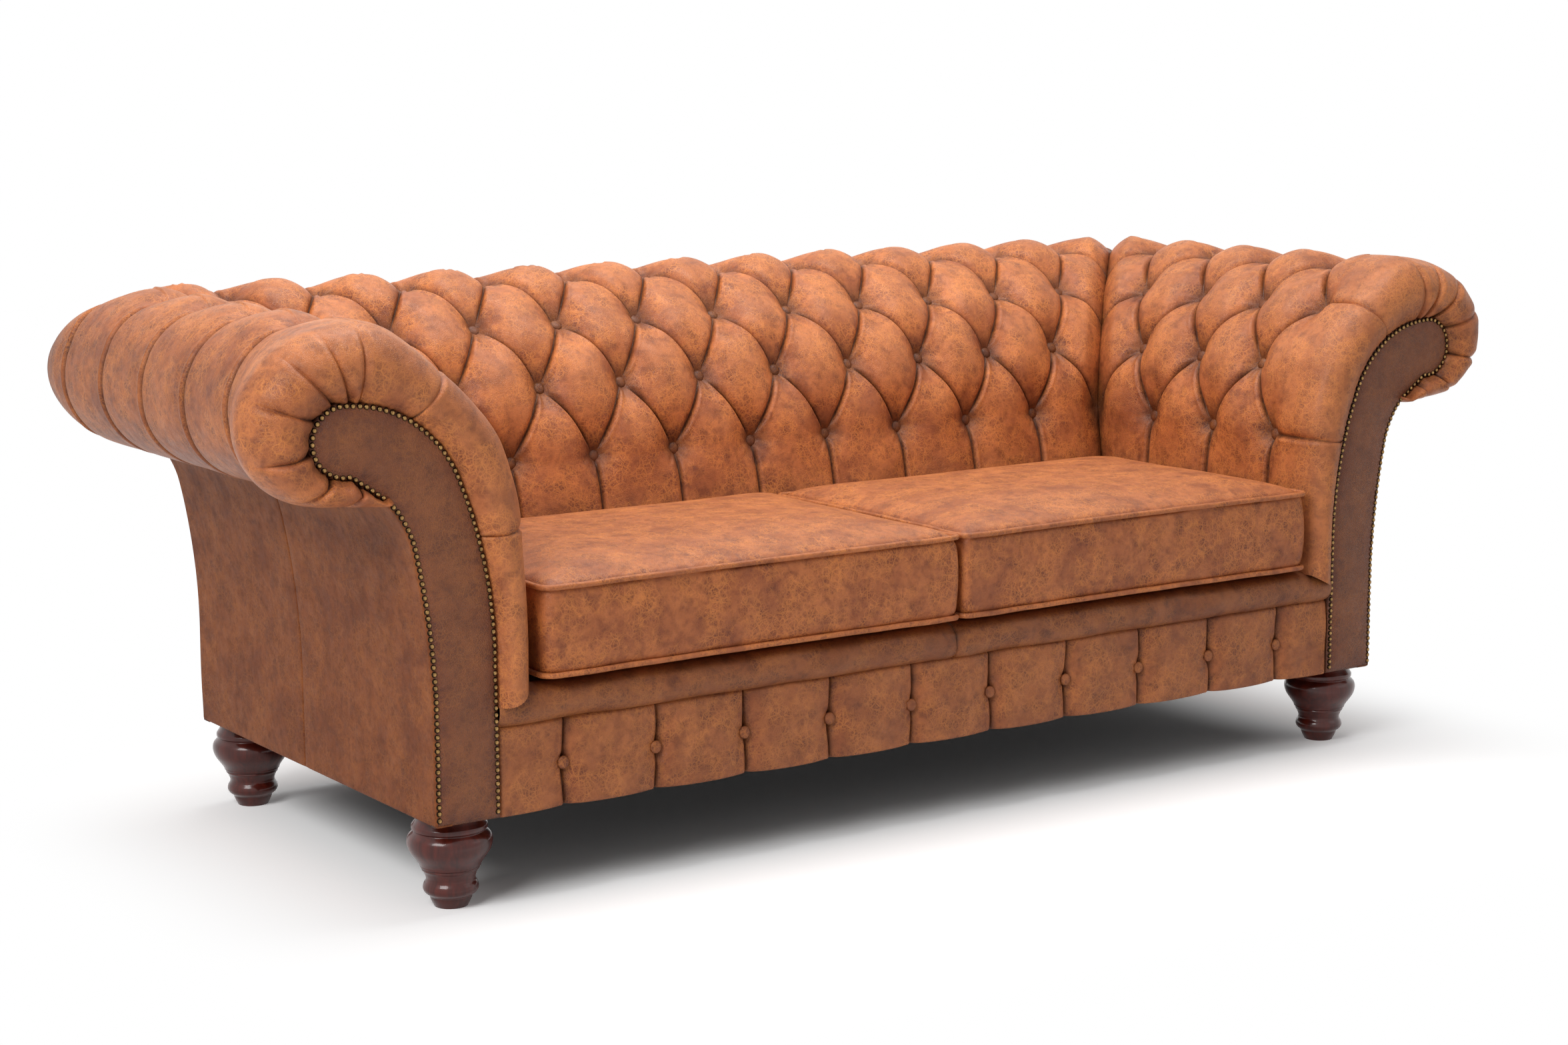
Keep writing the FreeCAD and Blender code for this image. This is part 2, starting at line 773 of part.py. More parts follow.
def arm_frame():
    sawn = flat_face(scroll_corners(16, 2.0))
    front_board = solid_feature("right_arm_front_board", stand_up(sawn, -381.7).extrude(vec(0, -22, 0)))
    keep(front_board)
    keep(mirrored("left_arm_front_board", front_board))
    outline = [(777, 130), (843.5, 130), (843.5, 263), (867.5, 490, 6), (902, 555, 5.3), (912, 563),
               (912, "roll_rail_bottom"), (777, "roll_rail_bottom")]
    rear_board = keep(plate("right_arm_rear_board", "XZ_Plane", outline, -327, 22))
    keep(mirrored("left_arm_rear_board", rear_board))
    near, far = "corner_across + roll_rail_near", "corner_across + roll_rail_far"
    length = ("front_rail_face - 0.5", 340)
    top = keep(bar("right_arm_top_rail", (near, far), length, ("roll_rail_bottom", "roll_rail_top")))
    keep(mirrored("left_arm_top_rail", top))
    inner = ("arm_web_inner", "arm_web_inner + 23")
    run = (-381.5, 304.5)
    tack = bar("right_tack_rail", inner, run, ("tack_rail_bottom", "tack_rail_bottom + 40"))
    web = bar("right_web_rail", inner, run, ("web_rail_top - 40", "web_rail_top"))
    rails = keep(group("right_arm_web_rails", [tack, web]))
    keep(mirrored("left_arm_web_rails", rails))


def back_frame():
    near, far = "corner_depth + roll_rail_near", "corner_depth + roll_rail_far"
    reach = "corner_across + roll_rail_near - 0.5"
    keep(bar("back_top_rail", (f"-({reach})", reach), (near, far), ("roll_rail_bottom", "roll_rail_top")))
    deep = (169.5, 195)
    between = ("-776.5", "776.5")
    tack = bar("back_tack_rail", between, deep, ("tack_rail_bottom", "tack_rail_bottom + 45"))
    web = bar("back_web_rail", between, deep, ("web_rail_top - 45", "web_rail_top"))
    keep(group("back_web_rails", [tack, web]))
    uprights = []
    for place in range(-2, 3):
        middle = 345 * place
        sides = (f"{middle} - timber / 2", f"{middle} + timber / 2")
        tall = ("rail_top", "roll_rail_bottom")
        uprights.append(bar(f"back_upright_{place + 2}", sides, (195, 330), tall))
    keep(group("back_uprights", uprights))


# Plain covers


def facing():
    body = plate("right_scroll_facing", "XZ_Plane", SCROLL, "-facing_back", "facing_back - facing_front")
    keep(body)
    keep(mirrored("left_scroll_facing", body))


def outside_panels():
    """The outside arms in two hides each, joined at an upright seam, and the outside back."""
    section = [(845, "leather_bottom"), (848, "leather_bottom"), (848, 263), (872, 490, 6),
               (907, 554, 5.3), (911, 557.5), (909, 559.8), (904.8, 556),
               (869, 490.6, -5.3), (845, 263.2, -6)]
    for name, front, rear in (("front", -403.7, mm.side_seam - 0.2), ("rear", mm.side_seam + 0.2, 333.7)):
        label = "right_outside_arm_" + name
        body = keep(plate(label, "XZ_Plane", section, -rear, rear - front))
        keep(mirrored(label.replace("right", "left"), body))
    half = [(844, "leather_bottom"), (844, 263), (868, 490, 6), (903, 555, 5.3), (908, 560)]
    bows = [()] + [stop[2:] for stop in reversed(half[1:])]
    other = [(-stop[0], stop[1]) + bow for stop, bow in zip(reversed(half), bows)]
    panel = plate("outside_back_panel", "XZ_Plane", half + other, "-back_panel_rear", "panel_thickness")
    keep(panel)


def front_border():
    """The buttoned border under the seat, swelling between its upright pleats."""
    pitch = 2 * mm.half_pitch
    pleats = [(place - 4.5) * pitch for place in range(10)]
    stops = [("border_half_width", "border_back"), ("-border_half_width", "border_back"),
             ("-border_half_width", "border_front - 8")]
    end_swell, swell = 6, mm.border_swell
    for place, pleat in enumerate(pleats):
        bow = end_swell if place == 0 else swell
        stops.append((pleat, "border_front", -bow))
    stops.append(("border_half_width", "border_front - 8", -end_swell))
    height = "rail_top - leather_bottom + 0.5"
    keep(plate("front_border_cover", "XY_Plane", stops, "leather_bottom", height))


def front_lip():
    bulge = -19
    stops = [("lip_back", "lip_bottom"), ("lip_back", "lip_top"),
             (-405, "lip_top"), (-405, "lip_bottom", bulge)]
    keep(plate("front_lip_cover", "YZ_Plane", stops, "-border_half_width", "2 * border_half_width"))


def seat_deck():
    sides = ("-deck_half_width", "deck_half_width")
    deep = ("deck_front", "deck_rear")
    keep(bar("spring_cloth", sides, deep, ("deck_bottom", "deck_bottom + 1.5")))
    keep(bar("deck_pad", sides, deep, ("deck_bottom + 2", "deck_top - 3.5")))
    keep(bar("deck_cover", sides, deep, ("deck_top - 3", "deck_top")))


def dust_cover():
    """Black cloth under the frame, notched round the feet."""
    right = [(748, -380), (748, "front_foot_depth + 50"), (843, "front_foot_depth + 50"),
             (843, "rear_foot_depth - 50"), (748, "rear_foot_depth - 50"), (748, 333)]
    left = [(-x, y) for x, y in reversed(right)]
    keep(plate("dust_cover", "XY_Plane", right + left, "leather_bottom + 0.5", 1.5))


# Loose seat cushions

CORNER_RADIUS = 34
CUSHION_POINTS = 32


def cushion_ring(inset, height, pinch):
    """Points round the right cushion; the middles of its sides are drawn in by pinch."""
    low_x, high_x = mm.cushion_inner + inset, mm.cushion_outer - inset
    low_y, high_y = mm.cushion_front + inset, mm.cushion_rear - inset
    middle = vec((low_x + high_x) / 2, (low_y + high_y) / 2)
    half_x, half_y = (high_x - low_x) / 2, (high_y - low_y) / 2
    radius = max(6.0, CORNER_RADIUS - inset * 0.3)
    points = []
    per_side = CUSHION_POINTS // 4
    for side in range(4):
        for step in range(per_side):
            share = step / per_side
            points.append(rounded_point(side, share, half_x, half_y, radius, pinch))
    return [middle + point + UP * height for point in points]


def rounded_point(side, share, half_x, half_y, radius, pinch):
    """A point on one side of a rounded rectangle, a third of the steps on the corner's arc."""
    reach, span = (half_x, half_y) if side % 2 == 0 else (half_y, half_x)
    arc_share = 0.3
    if share < arc_share:
        angle = radians(45 * (share / arc_share - 1))
        along = -(span - radius) + radius * sin(angle)
        out = reach - radius + radius * cos(angle)
    elif share <= 1 - arc_share:
        straight = (share - arc_share) / (1 - 2 * arc_share)
        along = -(span - radius) + 2 * (span - radius) * straight
        out = reach - pinch * sin(pi * straight)
    else:
        angle = radians(45 * (share - 1 + arc_share) / arc_share)
        along = span - radius + radius * sin(angle)
        out = reach - radius + radius * cos(angle)
    quarter = FreeCAD.Rotation(UP, 90 * side)
    return quarter.multVec(vec(out, along))


def cushion_cover():
    """A boxed cushion: flat base, welt, drawn-in side, welt and a crowned top."""
    lower, upper = mm.cushion_lower_welt, mm.cushion_upper_welt
    rings = [
        (30, mm.cushion_bottom, 6),
        (1.5, lower - 4, 6),
        (-2.5, lower, 6),
        (1.5, lower + 3.5, 6),
        (-1, (lower + upper) / 2, 3),
        (1.5, upper - 3.5, 6),
        (-2.5, upper, 6),
        (1.5, upper + 3.5, 6),
        (32, mm.cushion_crown - 12, 4),
        (110, mm.cushion_crown - 2, 0),
    ]
    loops = [cushion_ring(*ring) for ring in rings]
    faces = [flat_face(loops[0])]
    for below, above in zip(loops, loops[1:]):
        for index in range(CUSHION_POINTS):
            following = (index + 1) % CUSHION_POINTS
            faces.append(flat_face([below[index], below[following], above[following]]))
            faces.append(flat_face([below[index], above[following], above[index]]))
    top = vec((mm.cushion_inner + mm.cushion_outer) / 2, (mm.cushion_front + mm.cushion_rear) / 2,
              mm.cushion_crown)
    ring = loops[-1]
    faces += [flat_face([start, end, top]) for start, end in zip(ring, ring[1:] + ring[:1])]
    room = foam_room(0)
    return closed_solid(faces).cut(room)


def foam_room(clearance):
    wall = 14 + clearance
    size_x = mm.cushion_outer - mm.cushion_inner - 2 * wall
    size_y = mm.cushion_rear - mm.cushion_front - 2 * wall
    low, high = mm.cushion_lower_welt + clearance, mm.cushion_upper_welt - clearance
    corner = vec(mm.cushion_inner + wall, mm.cushion_front + wall, low)
    return Part.makeBox(size_x, size_y, high - low, corner)


def cushions():
    cover = keep(solid_feature("right_cushion_cover", cushion_cover()))
    keep(mirrored("left_cushion_cover", cover))
    foam = keep(solid_feature("right_cushion_foam", foam_room(0.5)))
    keep(mirrored("left_cushion_foam", foam))


# Turned feet and their hanger bolts


def foot_body(label, depth):
    """A turned foot with a tapered toe, a bead, a bulb, a ring and a neck."""
    profile = [(0, 0), (22.5, 0), (37, 25.5), (33.5, 38), (42, 59), (57, 87.5), (50, 102), (50, 111),
               (46, 117), (46, "foot_height"), (0, "foot_height")]
    body = doc.addObject("PartDesign::Body", label)
    sketch = sketch_on(body, "XZ_Plane", profile)
    turned = body.newObject("PartDesign::Revolution", label + "_turning")
    turned.Profile = sketch
    turned.ReferenceAxis = (sketch, ["V_Axis"])
    turned.Angle = 360
    body.Tip = turned
    body.setExpression("Placement.Base.x", formula("foot_across"))
    body.setExpression("Placement.Base.y", formula(depth))
    return body


def feet():
    for name, depth in (("front", "front_foot_depth"), ("rear", "rear_foot_depth")):
        foot = foot_body(name + "_foot", depth)
        keep(group(name + "_feet", [foot, mirrored("left_" + name + "_foot", foot)]))
    bolts = []
    for name, depth in (("front", "front_foot_depth"), ("rear", "rear_foot_depth")):
        bolt = doc.addObject("Part::Prism", name + "_bolt")
        bolt.Polygon = 8
        bolt.setExpression("Circumradius", formula("bolt_radius"))
        bolt.Height = 88
        bolt.setExpression("Placement.Base.x", formula("foot_across"))
        bolt.setExpression("Placement.Base.y", formula(depth))
        bolt.Placement.Base.z = 77
        bolts += [bolt, mirrored("left_" + name + "_bolt", bolt)]
    keep(group("hanger_bolts", bolts))


def tufted_upholstery():
    keep(back_inside_cover())
    keep(back_buttons())
    for make in (arm_inside_cover, arm_buttons, nail_trim, arm_foam):
        piece = keep(make())
        keep(mirrored(piece.Label.replace("right", "left"), piece))
    keep(back_foam())


def check_document():
    for item in doc.Objects:
        if "Invalid" in item.State or "Error" in item.State:
            raise RuntimeError(f"{item.Label} did not compute: {item.State}")
    for item in nodes:
        if item.Shape.isNull() or not item.Shape.isValid() or item.Shape.Volume <= 0:
            raise RuntimeError(f"{item.Label} has no sound solid")


def write_parts():
    os.makedirs("parts", exist_ok=True)
    for item in nodes:
        item.Shape.exportStep(f"parts/{item.Label}.step")


seat_frame()
arm_frame()
back_frame()
suspension()
webbing()
seat_deck()
dust_cover()
tufted_upholstery()
facing()
outside_panels()
front_border()
keep(border_buttons())
front_lip()
cushions()
feet()
doc.recompute()
check_document()
write_parts()
print(len(nodes), "nodes written")
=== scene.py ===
import json
from math import asin, atan2, cos, exp, hypot, pi, radians, sin, sqrt, tan
import bpy
import numpy as np
from mathutils import Matrix, Vector
from mathutils.geometry import delaunay_2d_cdt


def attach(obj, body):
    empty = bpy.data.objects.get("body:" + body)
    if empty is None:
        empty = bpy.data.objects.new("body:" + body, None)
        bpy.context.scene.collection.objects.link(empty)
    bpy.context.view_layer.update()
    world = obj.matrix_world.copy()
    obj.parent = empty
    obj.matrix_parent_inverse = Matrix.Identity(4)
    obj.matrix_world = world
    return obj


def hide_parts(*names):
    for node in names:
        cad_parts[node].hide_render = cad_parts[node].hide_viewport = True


# Looks of the chesterfield sofa. Shapes are worked out in millimetres in the frame's own axes, for the
# right side where there are two, and turned to metres when a piece is made. Names left and right are
# as seen from the front.

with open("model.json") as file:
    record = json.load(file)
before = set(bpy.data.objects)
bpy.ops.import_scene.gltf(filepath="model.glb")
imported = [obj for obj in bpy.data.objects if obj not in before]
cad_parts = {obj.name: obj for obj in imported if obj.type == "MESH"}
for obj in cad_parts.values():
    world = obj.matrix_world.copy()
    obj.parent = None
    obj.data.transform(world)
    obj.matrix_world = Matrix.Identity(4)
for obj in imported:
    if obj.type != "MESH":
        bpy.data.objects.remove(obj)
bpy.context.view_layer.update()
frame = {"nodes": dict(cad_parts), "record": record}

# Sizes shared with the frame

# corner of the button level between the back and an arm, and the buttons' columns and rows
CORNER_ACROSS = 722.5
CORNER_DEPTH = 115.0
BUTTON_ROW = 504.0
HALF_PITCH = 72.25
ROW_RISE = 113.0
BACK_LEAN = radians(10)
# half pitches along the back, and from the corner to an arm's last buttons
BACK_LENGTH = 20
ARM_LAST = 6
# hollow sweep over the lowest buttons and the roll above it, as outwards, up and radius
SWEEP = (332.0, 445.4, 337.0)
ROLL = (214.0, 658.0, 94.0)
START_ANGLE = radians(170)
ROLL_START = SWEEP[2] * (radians(80) + asin((ROLL[0] - SWEEP[0]) / (SWEEP[2] - ROLL[2])))
ROLL_ANGLE = START_ANGLE - ROLL_START / SWEEP[2]
# where the covers end under the roll, and the angle over which they tuck in
BACK_END = radians(-82)
ARM_END = radians(-103)
TUCK = radians(22)
# levels and faces
LEATHER_BOTTOM = 124.0
SEAT_LEVEL = 292.5
PANEL_TOP = 566.0
FACING_FRONT = -418.0
REAR = 336.9

# Shares and waves

WAVES = 7


def ramp(value, width=1.0):
    """0 to 1 while the value goes from 0 to the width."""
    return np.clip(value / width, 0, 1)


def ease(value):
    """0 to 1 while the value does so, flat at the top."""
    return np.sin(ramp(value) * pi / 2)


def bell(distance, width):
    """1 at no distance, with a round top, down to 0 on both sides."""
    return np.exp(-(distance / width) ** 2)


def decay(distance, width):
    """1 at no distance, with a sharp top, down to 0 on both sides."""
    return np.exp(-np.abs(distance) / width)


def off_whole(value):
    """How far the value is past the nearest whole number."""
    return value - np.round(value)


def wave(value):
    """0 at each even number and 1 at each odd one."""
    return np.abs(np.sin(pi * value / 2))


def edge_fall(away, radius):
    """How far a rounded edge falls back, for a distance in from its end."""
    return radius * (1 - np.sqrt(1 - (1 - ramp(away, radius)) ** 2))


def ripple(seed, size, *places):
    """Smooth unevenness about 1 high, with swells about size mm apart."""
    draw = np.random.default_rng(seed)
    total = 0
    for _ in range(WAVES):
        heading = draw.normal(size=len(places))
        heading /= np.linalg.norm(heading)
        length = size * draw.uniform(0.7, 1.5)
        phase = draw.uniform(0, 2 * pi)
        travel = sum(part * place for part, place in zip(heading, places))
        total = total + np.sin(travel * 2 * pi / length + phase)
    return total / sqrt(WAVES)


# Pieces


def finished(name, points, faces, material, slot="leather", body="root", nodes=(), crown=0.7, fill=None):
    """A piece from points in mm; crown, 0 to 1, is how far each point stands out of the creases and sets the
    painted shade and light of its material.
    """
    mesh = bpy.data.meshes.new(name)
    mesh.from_pydata((np.asarray(points) / 1000).tolist(), [], [tuple(face) for face in faces])
    mesh.validate()
    wear = mesh.attributes.new("crown", "FLOAT", "POINT")
    wear.data.foreach_set("value", np.broadcast_to(crown, len(mesh.vertices)).astype(np.float32))
    mesh.polygons.foreach_set("use_smooth", [True] * len(mesh.polygons))
    mesh.materials.append(material)
    item = bpy.data.objects.new(name, mesh)
    bpy.context.scene.collection.objects.link(item)
    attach(item, body)
    if nodes:
        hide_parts(*nodes)


def on_both_sides(name, points, faces, *rest, nodes=(), body="root", **more):
    """The piece on the right-hand side and its mirror image on the left."""
    mirror = np.asarray(points) * (-1, 1, 1)
    flipped = [tuple(face)[::-1] for face in faces]
    for side, place, skin in (("right", points, faces), ("left", mirror, flipped)):
        own = [node.format(side=side) for node in nodes]
        finished(f"{side}_{name}", place, skin, *rest, nodes=own, body=body.format(side=side), **more)


def grid_faces(rows, columns, rises=None, closed=False):
    """Faces of a grid of points, as triangles where rises says how each cell is split."""
    index = np.arange(rows * columns).reshape(rows, columns)
    if closed:
        index = np.hstack([index, index[:, :1]])
    low, low_next = index[:-1, :-1], index[:-1, 1:]
    high, high_next = index[1:, :-1], index[1:, 1:]
    if rises is None:
        return np.stack([low, low_next, high_next, high], -1).reshape(-1, 4)
    first = np.stack([low, low_next, np.where(rises, high_next, high)], -1)
    second = np.stack([np.where(rises, low, low_next), high_next, high], -1)
    return np.concatenate([first.reshape(-1, 3), second.reshape(-1, 3)])


def tidy_triangles(points, faces, crown):
    """Joins points that fell together and drops the faces that this closes up."""
    keys = np.round(points * 200).astype(np.int64)
    _, first, back = np.unique(keys, axis=0, return_index=True, return_inverse=True)
    faces = back.reshape(-1)[faces]
    a, b, c = faces.T
    faces = faces[(a != b) & (b != c) & (a != c)]
    used, faces = np.unique(faces, return_inverse=True)
    keep = first[used]
    return points[keep], faces.reshape(-1, 3), crown[keep]


def spread(*parts):
    """Points from coordinates that may each be one row, one column or a whole grid."""
    return np.stack(np.broadcast_arrays(*parts), -1)


def sheet(x, y, z, outward):
    """Points and faces of a grid surface that faces outward; coordinates are as spread takes them."""
    grid = spread(x, y, z)
    points = grid.reshape(-1, 3)
    faces = grid_faces(*grid.shape[:2])
    a, b, c = points[faces[len(faces) // 2][:3]]
    return points, faces if np.cross(b - a, c - a) @ outward >= 0 else faces[:, ::-1]


# Section of the tufted surfaces


def section(run, lean):
    """Depth, height, outward depth and outward height of the button level, run mm up the section."""
    apron = run < 0
    swept = run < ROLL_START
    angle = np.where(swept, START_ANGLE - run / SWEEP[2], ROLL_ANGLE - (run - ROLL_START) / ROLL[2])
    out, up, radius = (np.where(swept, sweep, roll) for sweep, roll in zip(SWEEP, ROLL))
    depth = np.where(apron, run * sin(lean), out + radius * np.cos(angle))
    height = np.where(apron, BUTTON_ROW + run * cos(lean), up + radius * np.sin(angle))
    side = np.where(apron, -cos(lean), np.cos(angle))
    rise = np.where(apron, sin(lean), np.sin(angle))
    return depth, height, side, rise


def section_end(angle):
    """Run up the section at that angle round the roll."""
    return ROLL_START + (ROLL_ANGLE - angle) * ROLL[2]


def on_back(run, across, offset):
    """Points of the back, offset outwards from the button level."""
    depth, height, side, rise = section(run, BACK_LEAN)
    return spread(across, CORNER_DEPTH + depth + side * offset, height + rise * offset)


def on_arm(run, depth, offset):
    """Points of the right arm, offset outwards from the button level."""
    out, height, side, rise = section(run, 0.0)
    return spread(CORNER_ACROSS + out + side * offset, depth, height + rise * offset)


def mitre_limit(run, lean):
    """Distance from the corner to the mitre in mm, along the leaning back or along an upright arm."""
    depth, height = section(run, lean)[:2]
    drop = tan(BACK_LEAN) * np.minimum(0, height - BUTTON_ROW)
    return depth - drop if lean else depth + drop


# Tufting: along counts half pitches from the corner, rows counts button rows from the lowest. Buttons
# stand where along + rows is even and pleats run between them. Past the column last, an arm is plain.

TOP_ROW = 3
NO_FRONT = 99
# grid cells in each half pitch and row, and how strongly the grid is drawn towards the pleats
CELLS = 24
GATHER = 0.6
# distance in mm between parallel pleats, and a pleat's height as a share of a pillow's
PLEAT_SPAN = 2 / hypot(1 / HALF_PITCH, 1 / ROW_RISE)
VALLEY = 0.52
# seeds of what varies from pillow to pillow, and of the waves over all of them
BACK_SEED, ARM_SEED = 0.0, 1.7
BACK_WAVES, ARM_WAVES = 11, 12


def gathered(along, rows, last):
    """Draws grid points towards the pleats, so that creases stay crisp."""
    across = np.sin(pi * (along + rows))
    back = np.sin(pi * (along - rows))
    upright = np.sin(pi * along)
    front = along > last
    diamond = (rows >= 0) & (rows <= TOP_ROW)
    pull = GATHER / pi
    new_along = along - pull * (across + back) / 2
    new_along = np.where(rows < 0, along - pull * upright, new_along)
    new_along = np.where(rows > TOP_ROW, along + pull * upright, new_along)
    new_rows = np.where(diamond, rows - pull * (across - back) / 2, rows)
    new_rows = np.where(front & diamond, rows - pull * np.sin(pi * rows), new_rows)
    return np.where(front, along, new_along), new_rows


def cell_lines(low, high):
    return np.arange(int(np.floor(low * CELLS)), int(np.ceil(high * CELLS)) + 1) / CELLS


def cover_grid(lean, end_angle, last, far=None, extra=()):
    """Grid of along and rows from the seat round to the tucked end, and how its cells are split so that
    diagonals follow the pleats. It ends at far, or else past a second mitre; extra rows can be added."""
    end = section_end(end_angle - TUCK) / ROW_RISE
    reach = mitre_limit(np.linspace(0, end * ROW_RISE, 200), lean).max() / HALF_PITCH
    bottom = -(BUTTON_ROW - SEAT_LEVEL) / cos(BACK_LEAN) / ROW_RISE
    steps = np.union1d(np.clip(cell_lines(bottom, end), bottom, end), np.round(extra, 5))
    high = far or BACK_LENGTH + reach
    along, rows = np.meshgrid(cell_lines(-reach, high), steps)
    middle = (along[:-1, :-1] + along[1:, 1:]) / 2
    level = (rows[:-1, :-1] + rows[1:, 1:]) / 2
    first, second = (middle + level) / 2, (middle - level) / 2
    rises = np.abs(off_whole(second)) < np.abs(off_whole(first))
    return *gathered(along, rows, last), rises


def crease(distance):
    """The folded line of a pleat: a narrow cleft, a rolled lip on one side and a steep wall on the other."""
    cleft = -5.4 * decay(distance, 1.6)
    lip = 1.5 / (1 + np.exp((-distance - 8.5) / 0.9)) * np.where(distance < 0, 1 - np.exp(distance / 2.5), 0)
    wall = np.where(distance > 0, -3.2 * bell(distance, 7), -2.6 * bell(distance, 3.2))
    return cleft + lip + wall


def pit_wall(value):
    """Rise out of a pit along a pleat, for a value of 0 at the button and 1 half way."""
    return (1 - (1 - value ** 2) ** 2) ** 0.667


def tufting(along, rows, last, seed):
    """Height of the padding over the button level, the creases in it and its crown from 0 to 1."""
    first, second = (along + rows) / 2, (along - rows) / 2
    whole_first, whole_second = np.floor(first), np.floor(second)
    front = along > last
    below, above = rows < 0, rows > TOP_ROW
    beyond = below | above

    # diamonds
    open_pit = np.maximum(0, 1 - (np.cos(pi * first) * np.cos(pi * second)) ** 2) ** 0.667
    slack = (first - whole_first) - (second - whole_second)
    varied = 1 + 0.10 * np.sin(whole_first * 2.3 + whole_second * 4.1 + seed)
    swell = (np.abs(np.sin(pi * first)) * np.abs(np.sin(pi * second))) ** 0.44 * (1 - 0.14 * slack) * varied
    valley = np.full_like(along, VALLEY)

    # flutes over the roll and folds down the apron
    flute = np.where(above, along + 1, along)
    fold = wave(flute)
    past = np.where(above, rows - TOP_ROW, -rows)
    upright = pit_wall(fold) + (1 - pit_wall(fold)) * ease(past / 0.45)
    open_pit = np.where(beyond, upright, open_pit)
    swell = np.where(beyond, fold ** 0.88, swell)
    valley = np.where(beyond, VALLEY + np.where(above, 0.37, 0.24) * ease(past / 1.1), valley)

    # plain front of an arm, with a level pleat from each of its last two buttons
    ahead = np.maximum(along - last, 0)
    level = np.where(rows < TOP_ROW, wave(rows), 1.0)
    level = np.where(below, ease(-rows) * ease(ahead), level)
    clear = 1 - (1 - ease(ahead / 0.45)) * np.where(below, 1 - ease(-rows / 0.45), 1)
    open_pit = np.where(front, pit_wall(level) + (1 - pit_wall(level)) * clear, open_pit)
    swell = np.where(front, level ** 0.88, swell)
    valley = np.where(front, VALLEY + 0.30 * ease(ahead / 1.3), valley)

    full = np.where(above, 14 + 16 * np.maximum(0, TOP_ROW + 1 - rows), 22 + 9 * np.clip(rows, 0, 1))
    open_pit = open_pit ** 0.78
    height = full * open_pit * (valley + (1 - valley) * swell)

    # creases
    lines = crease(off_whole(first) * PLEAT_SPAN) + crease(-off_whole(second) * PLEAT_SPAN)
    lines = np.where(beyond, crease(off_whole(flute / 2) * 2 * HALF_PITCH), lines)
    level_line = np.where(rows < 1, crease(rows * ROW_RISE), crease((rows - 2) * ROW_RISE))
    lines = np.where(front, level_line * np.clip(1.15 - ahead / 2.2, 0.3, 1), lines)
    creases = lines * np.clip(open_pit * 1.7 - 0.35, 0, 1) * np.where(above, 0.80, 1.0)
    # the crown falls in the pits and creases, where the leather paints shade
    crown = np.clip(height / 30 + np.minimum(0, creases / 13), 0, 1)

    # puckers round each button
    near_along = np.round(first) + np.round(second)
    near_row = np.round(first) - np.round(second)
    real = (near_row >= 0) & (near_row <= TOP_ROW) & (near_along <= last)
    off_x, off_y = (along - near_along) * HALF_PITCH, (rows - near_row) * ROW_RISE
    away = np.hypot(off_x, off_y)
    turn = np.arctan2(off_y, off_x)
    wander = np.sin(near_along * 1.7 + near_row * 2.9 + seed)
    gather = np.sin(turn * 9 + wander * 6) * 0.6 + np.sin(turn * 14 + wander * 11) * 0.4
    lower = 0.55 + 0.45 * np.clip(-np.sin(turn), -1, 1)
    puckers = 1.2 * gather * lower * bell(away - 21, 12)
    creases = creases + np.where(real, puckers - 7.0 * bell(away, 13), 0)
    return height, creases, crown


def cover_offset(along, rows, to_mitre, tucked, last, pleat_seed, wave_seed, swell=0.0):
    """How far a cover stands out from the button level, and its crown; it thins towards the mitre, and its
    crown falls there to paint shade into the corner.
    """
    pad, lines, crown = tufting(along, rows, last, pleat_seed)
    fade = np.sqrt(ramp(to_mitre, 55))
    waves = ripple(wave_seed, 130, along * HALF_PITCH, rows * ROW_RISE) * 0.9
    pad = (pad + waves) * fade * (1 - tucked) + swell * (1 - tucked) + np.minimum(0, to_mitre)
    return pad + lines * ramp(to_mitre, 20), crown * fade


# how far in mm the covers' grids run on past the mitre
PAST_MITRE = 1.5


def tufted_back(material):
    along, rows, rises = cover_grid(BACK_LEAN, BACK_END, NO_FRONT)
    run = rows * ROW_RISE
    limit = mitre_limit(run, BACK_LEAN)
    past = PAST_MITRE / HALF_PITCH
    along = np.clip(along, -limit / HALF_PITCH - past, BACK_LENGTH + limit / HALF_PITCH + past)
    to_mitre = limit - np.maximum(-along, along - BACK_LENGTH) * HALF_PITCH
    tucked = ramp(run - section_end(BACK_END), TUCK * ROLL[2])
    offset, crown = cover_offset(along, rows, to_mitre, tucked, NO_FRONT, BACK_SEED, BACK_WAVES)
    points = on_back(run, CORNER_ACROSS - HALF_PITCH * along, offset).reshape(-1, 3)
    faces = grid_faces(*along.shape, rises=rises)[:, ::-1]
    points, faces, crown = tidy_triangles(points, faces, crown.reshape(-1))
    finished("tufted_inside_back", points, faces, material, nodes=["back_inside_cover"],
             crown=crown, fill=0.9)


# Outline of the scrolled arm front in X and Z; a third number is the bow of the arc that ends there

SCROLL = [(753, 124), (753, 340), (800, 580, 11.9), (950, 685.5, 26.9), (955, 588, 57), (907, 554),
          (872, 490, -5.3), (848, 263, -6), (848, 124)]


def arc_points(start, end, bow, step):
    """Points after start up to end on an arc of that height, positive to the left of travel."""
    start, end = np.array(start, float), np.array(end, float)
    chord = end - start
    length = np.linalg.norm(chord)
    count = max(2, int(length / step))
    shares = np.arange(1, count + 1) / count
    if not bow:
        return start + chord * shares[:, None]
    left = np.array([-chord[1], chord[0]]) / length
    radius = (length ** 2 / 4 + bow ** 2) / (2 * bow)
    centre = (start + end) / 2 + left * (bow - radius)
    begin = atan2(*(start - centre)[::-1])
    half_turn = 2 * atan2(bow, length / 2)
    angles = begin - shares * 2 * half_turn
    return centre + abs(radius) * np.stack([np.cos(angles), np.sin(angles)], -1)


def outline(stops, step=3.0):
    """Points about step mm apart along lines and arcs through the stops."""
    points = [np.array([stops[0][:2]], float)]
    for before, stop in zip(stops, stops[1:]):
        points.append(arc_points(before[:2], stop[:2], stop[2] if len(stop) == 3 else 0, step))
    return np.concatenate(points)


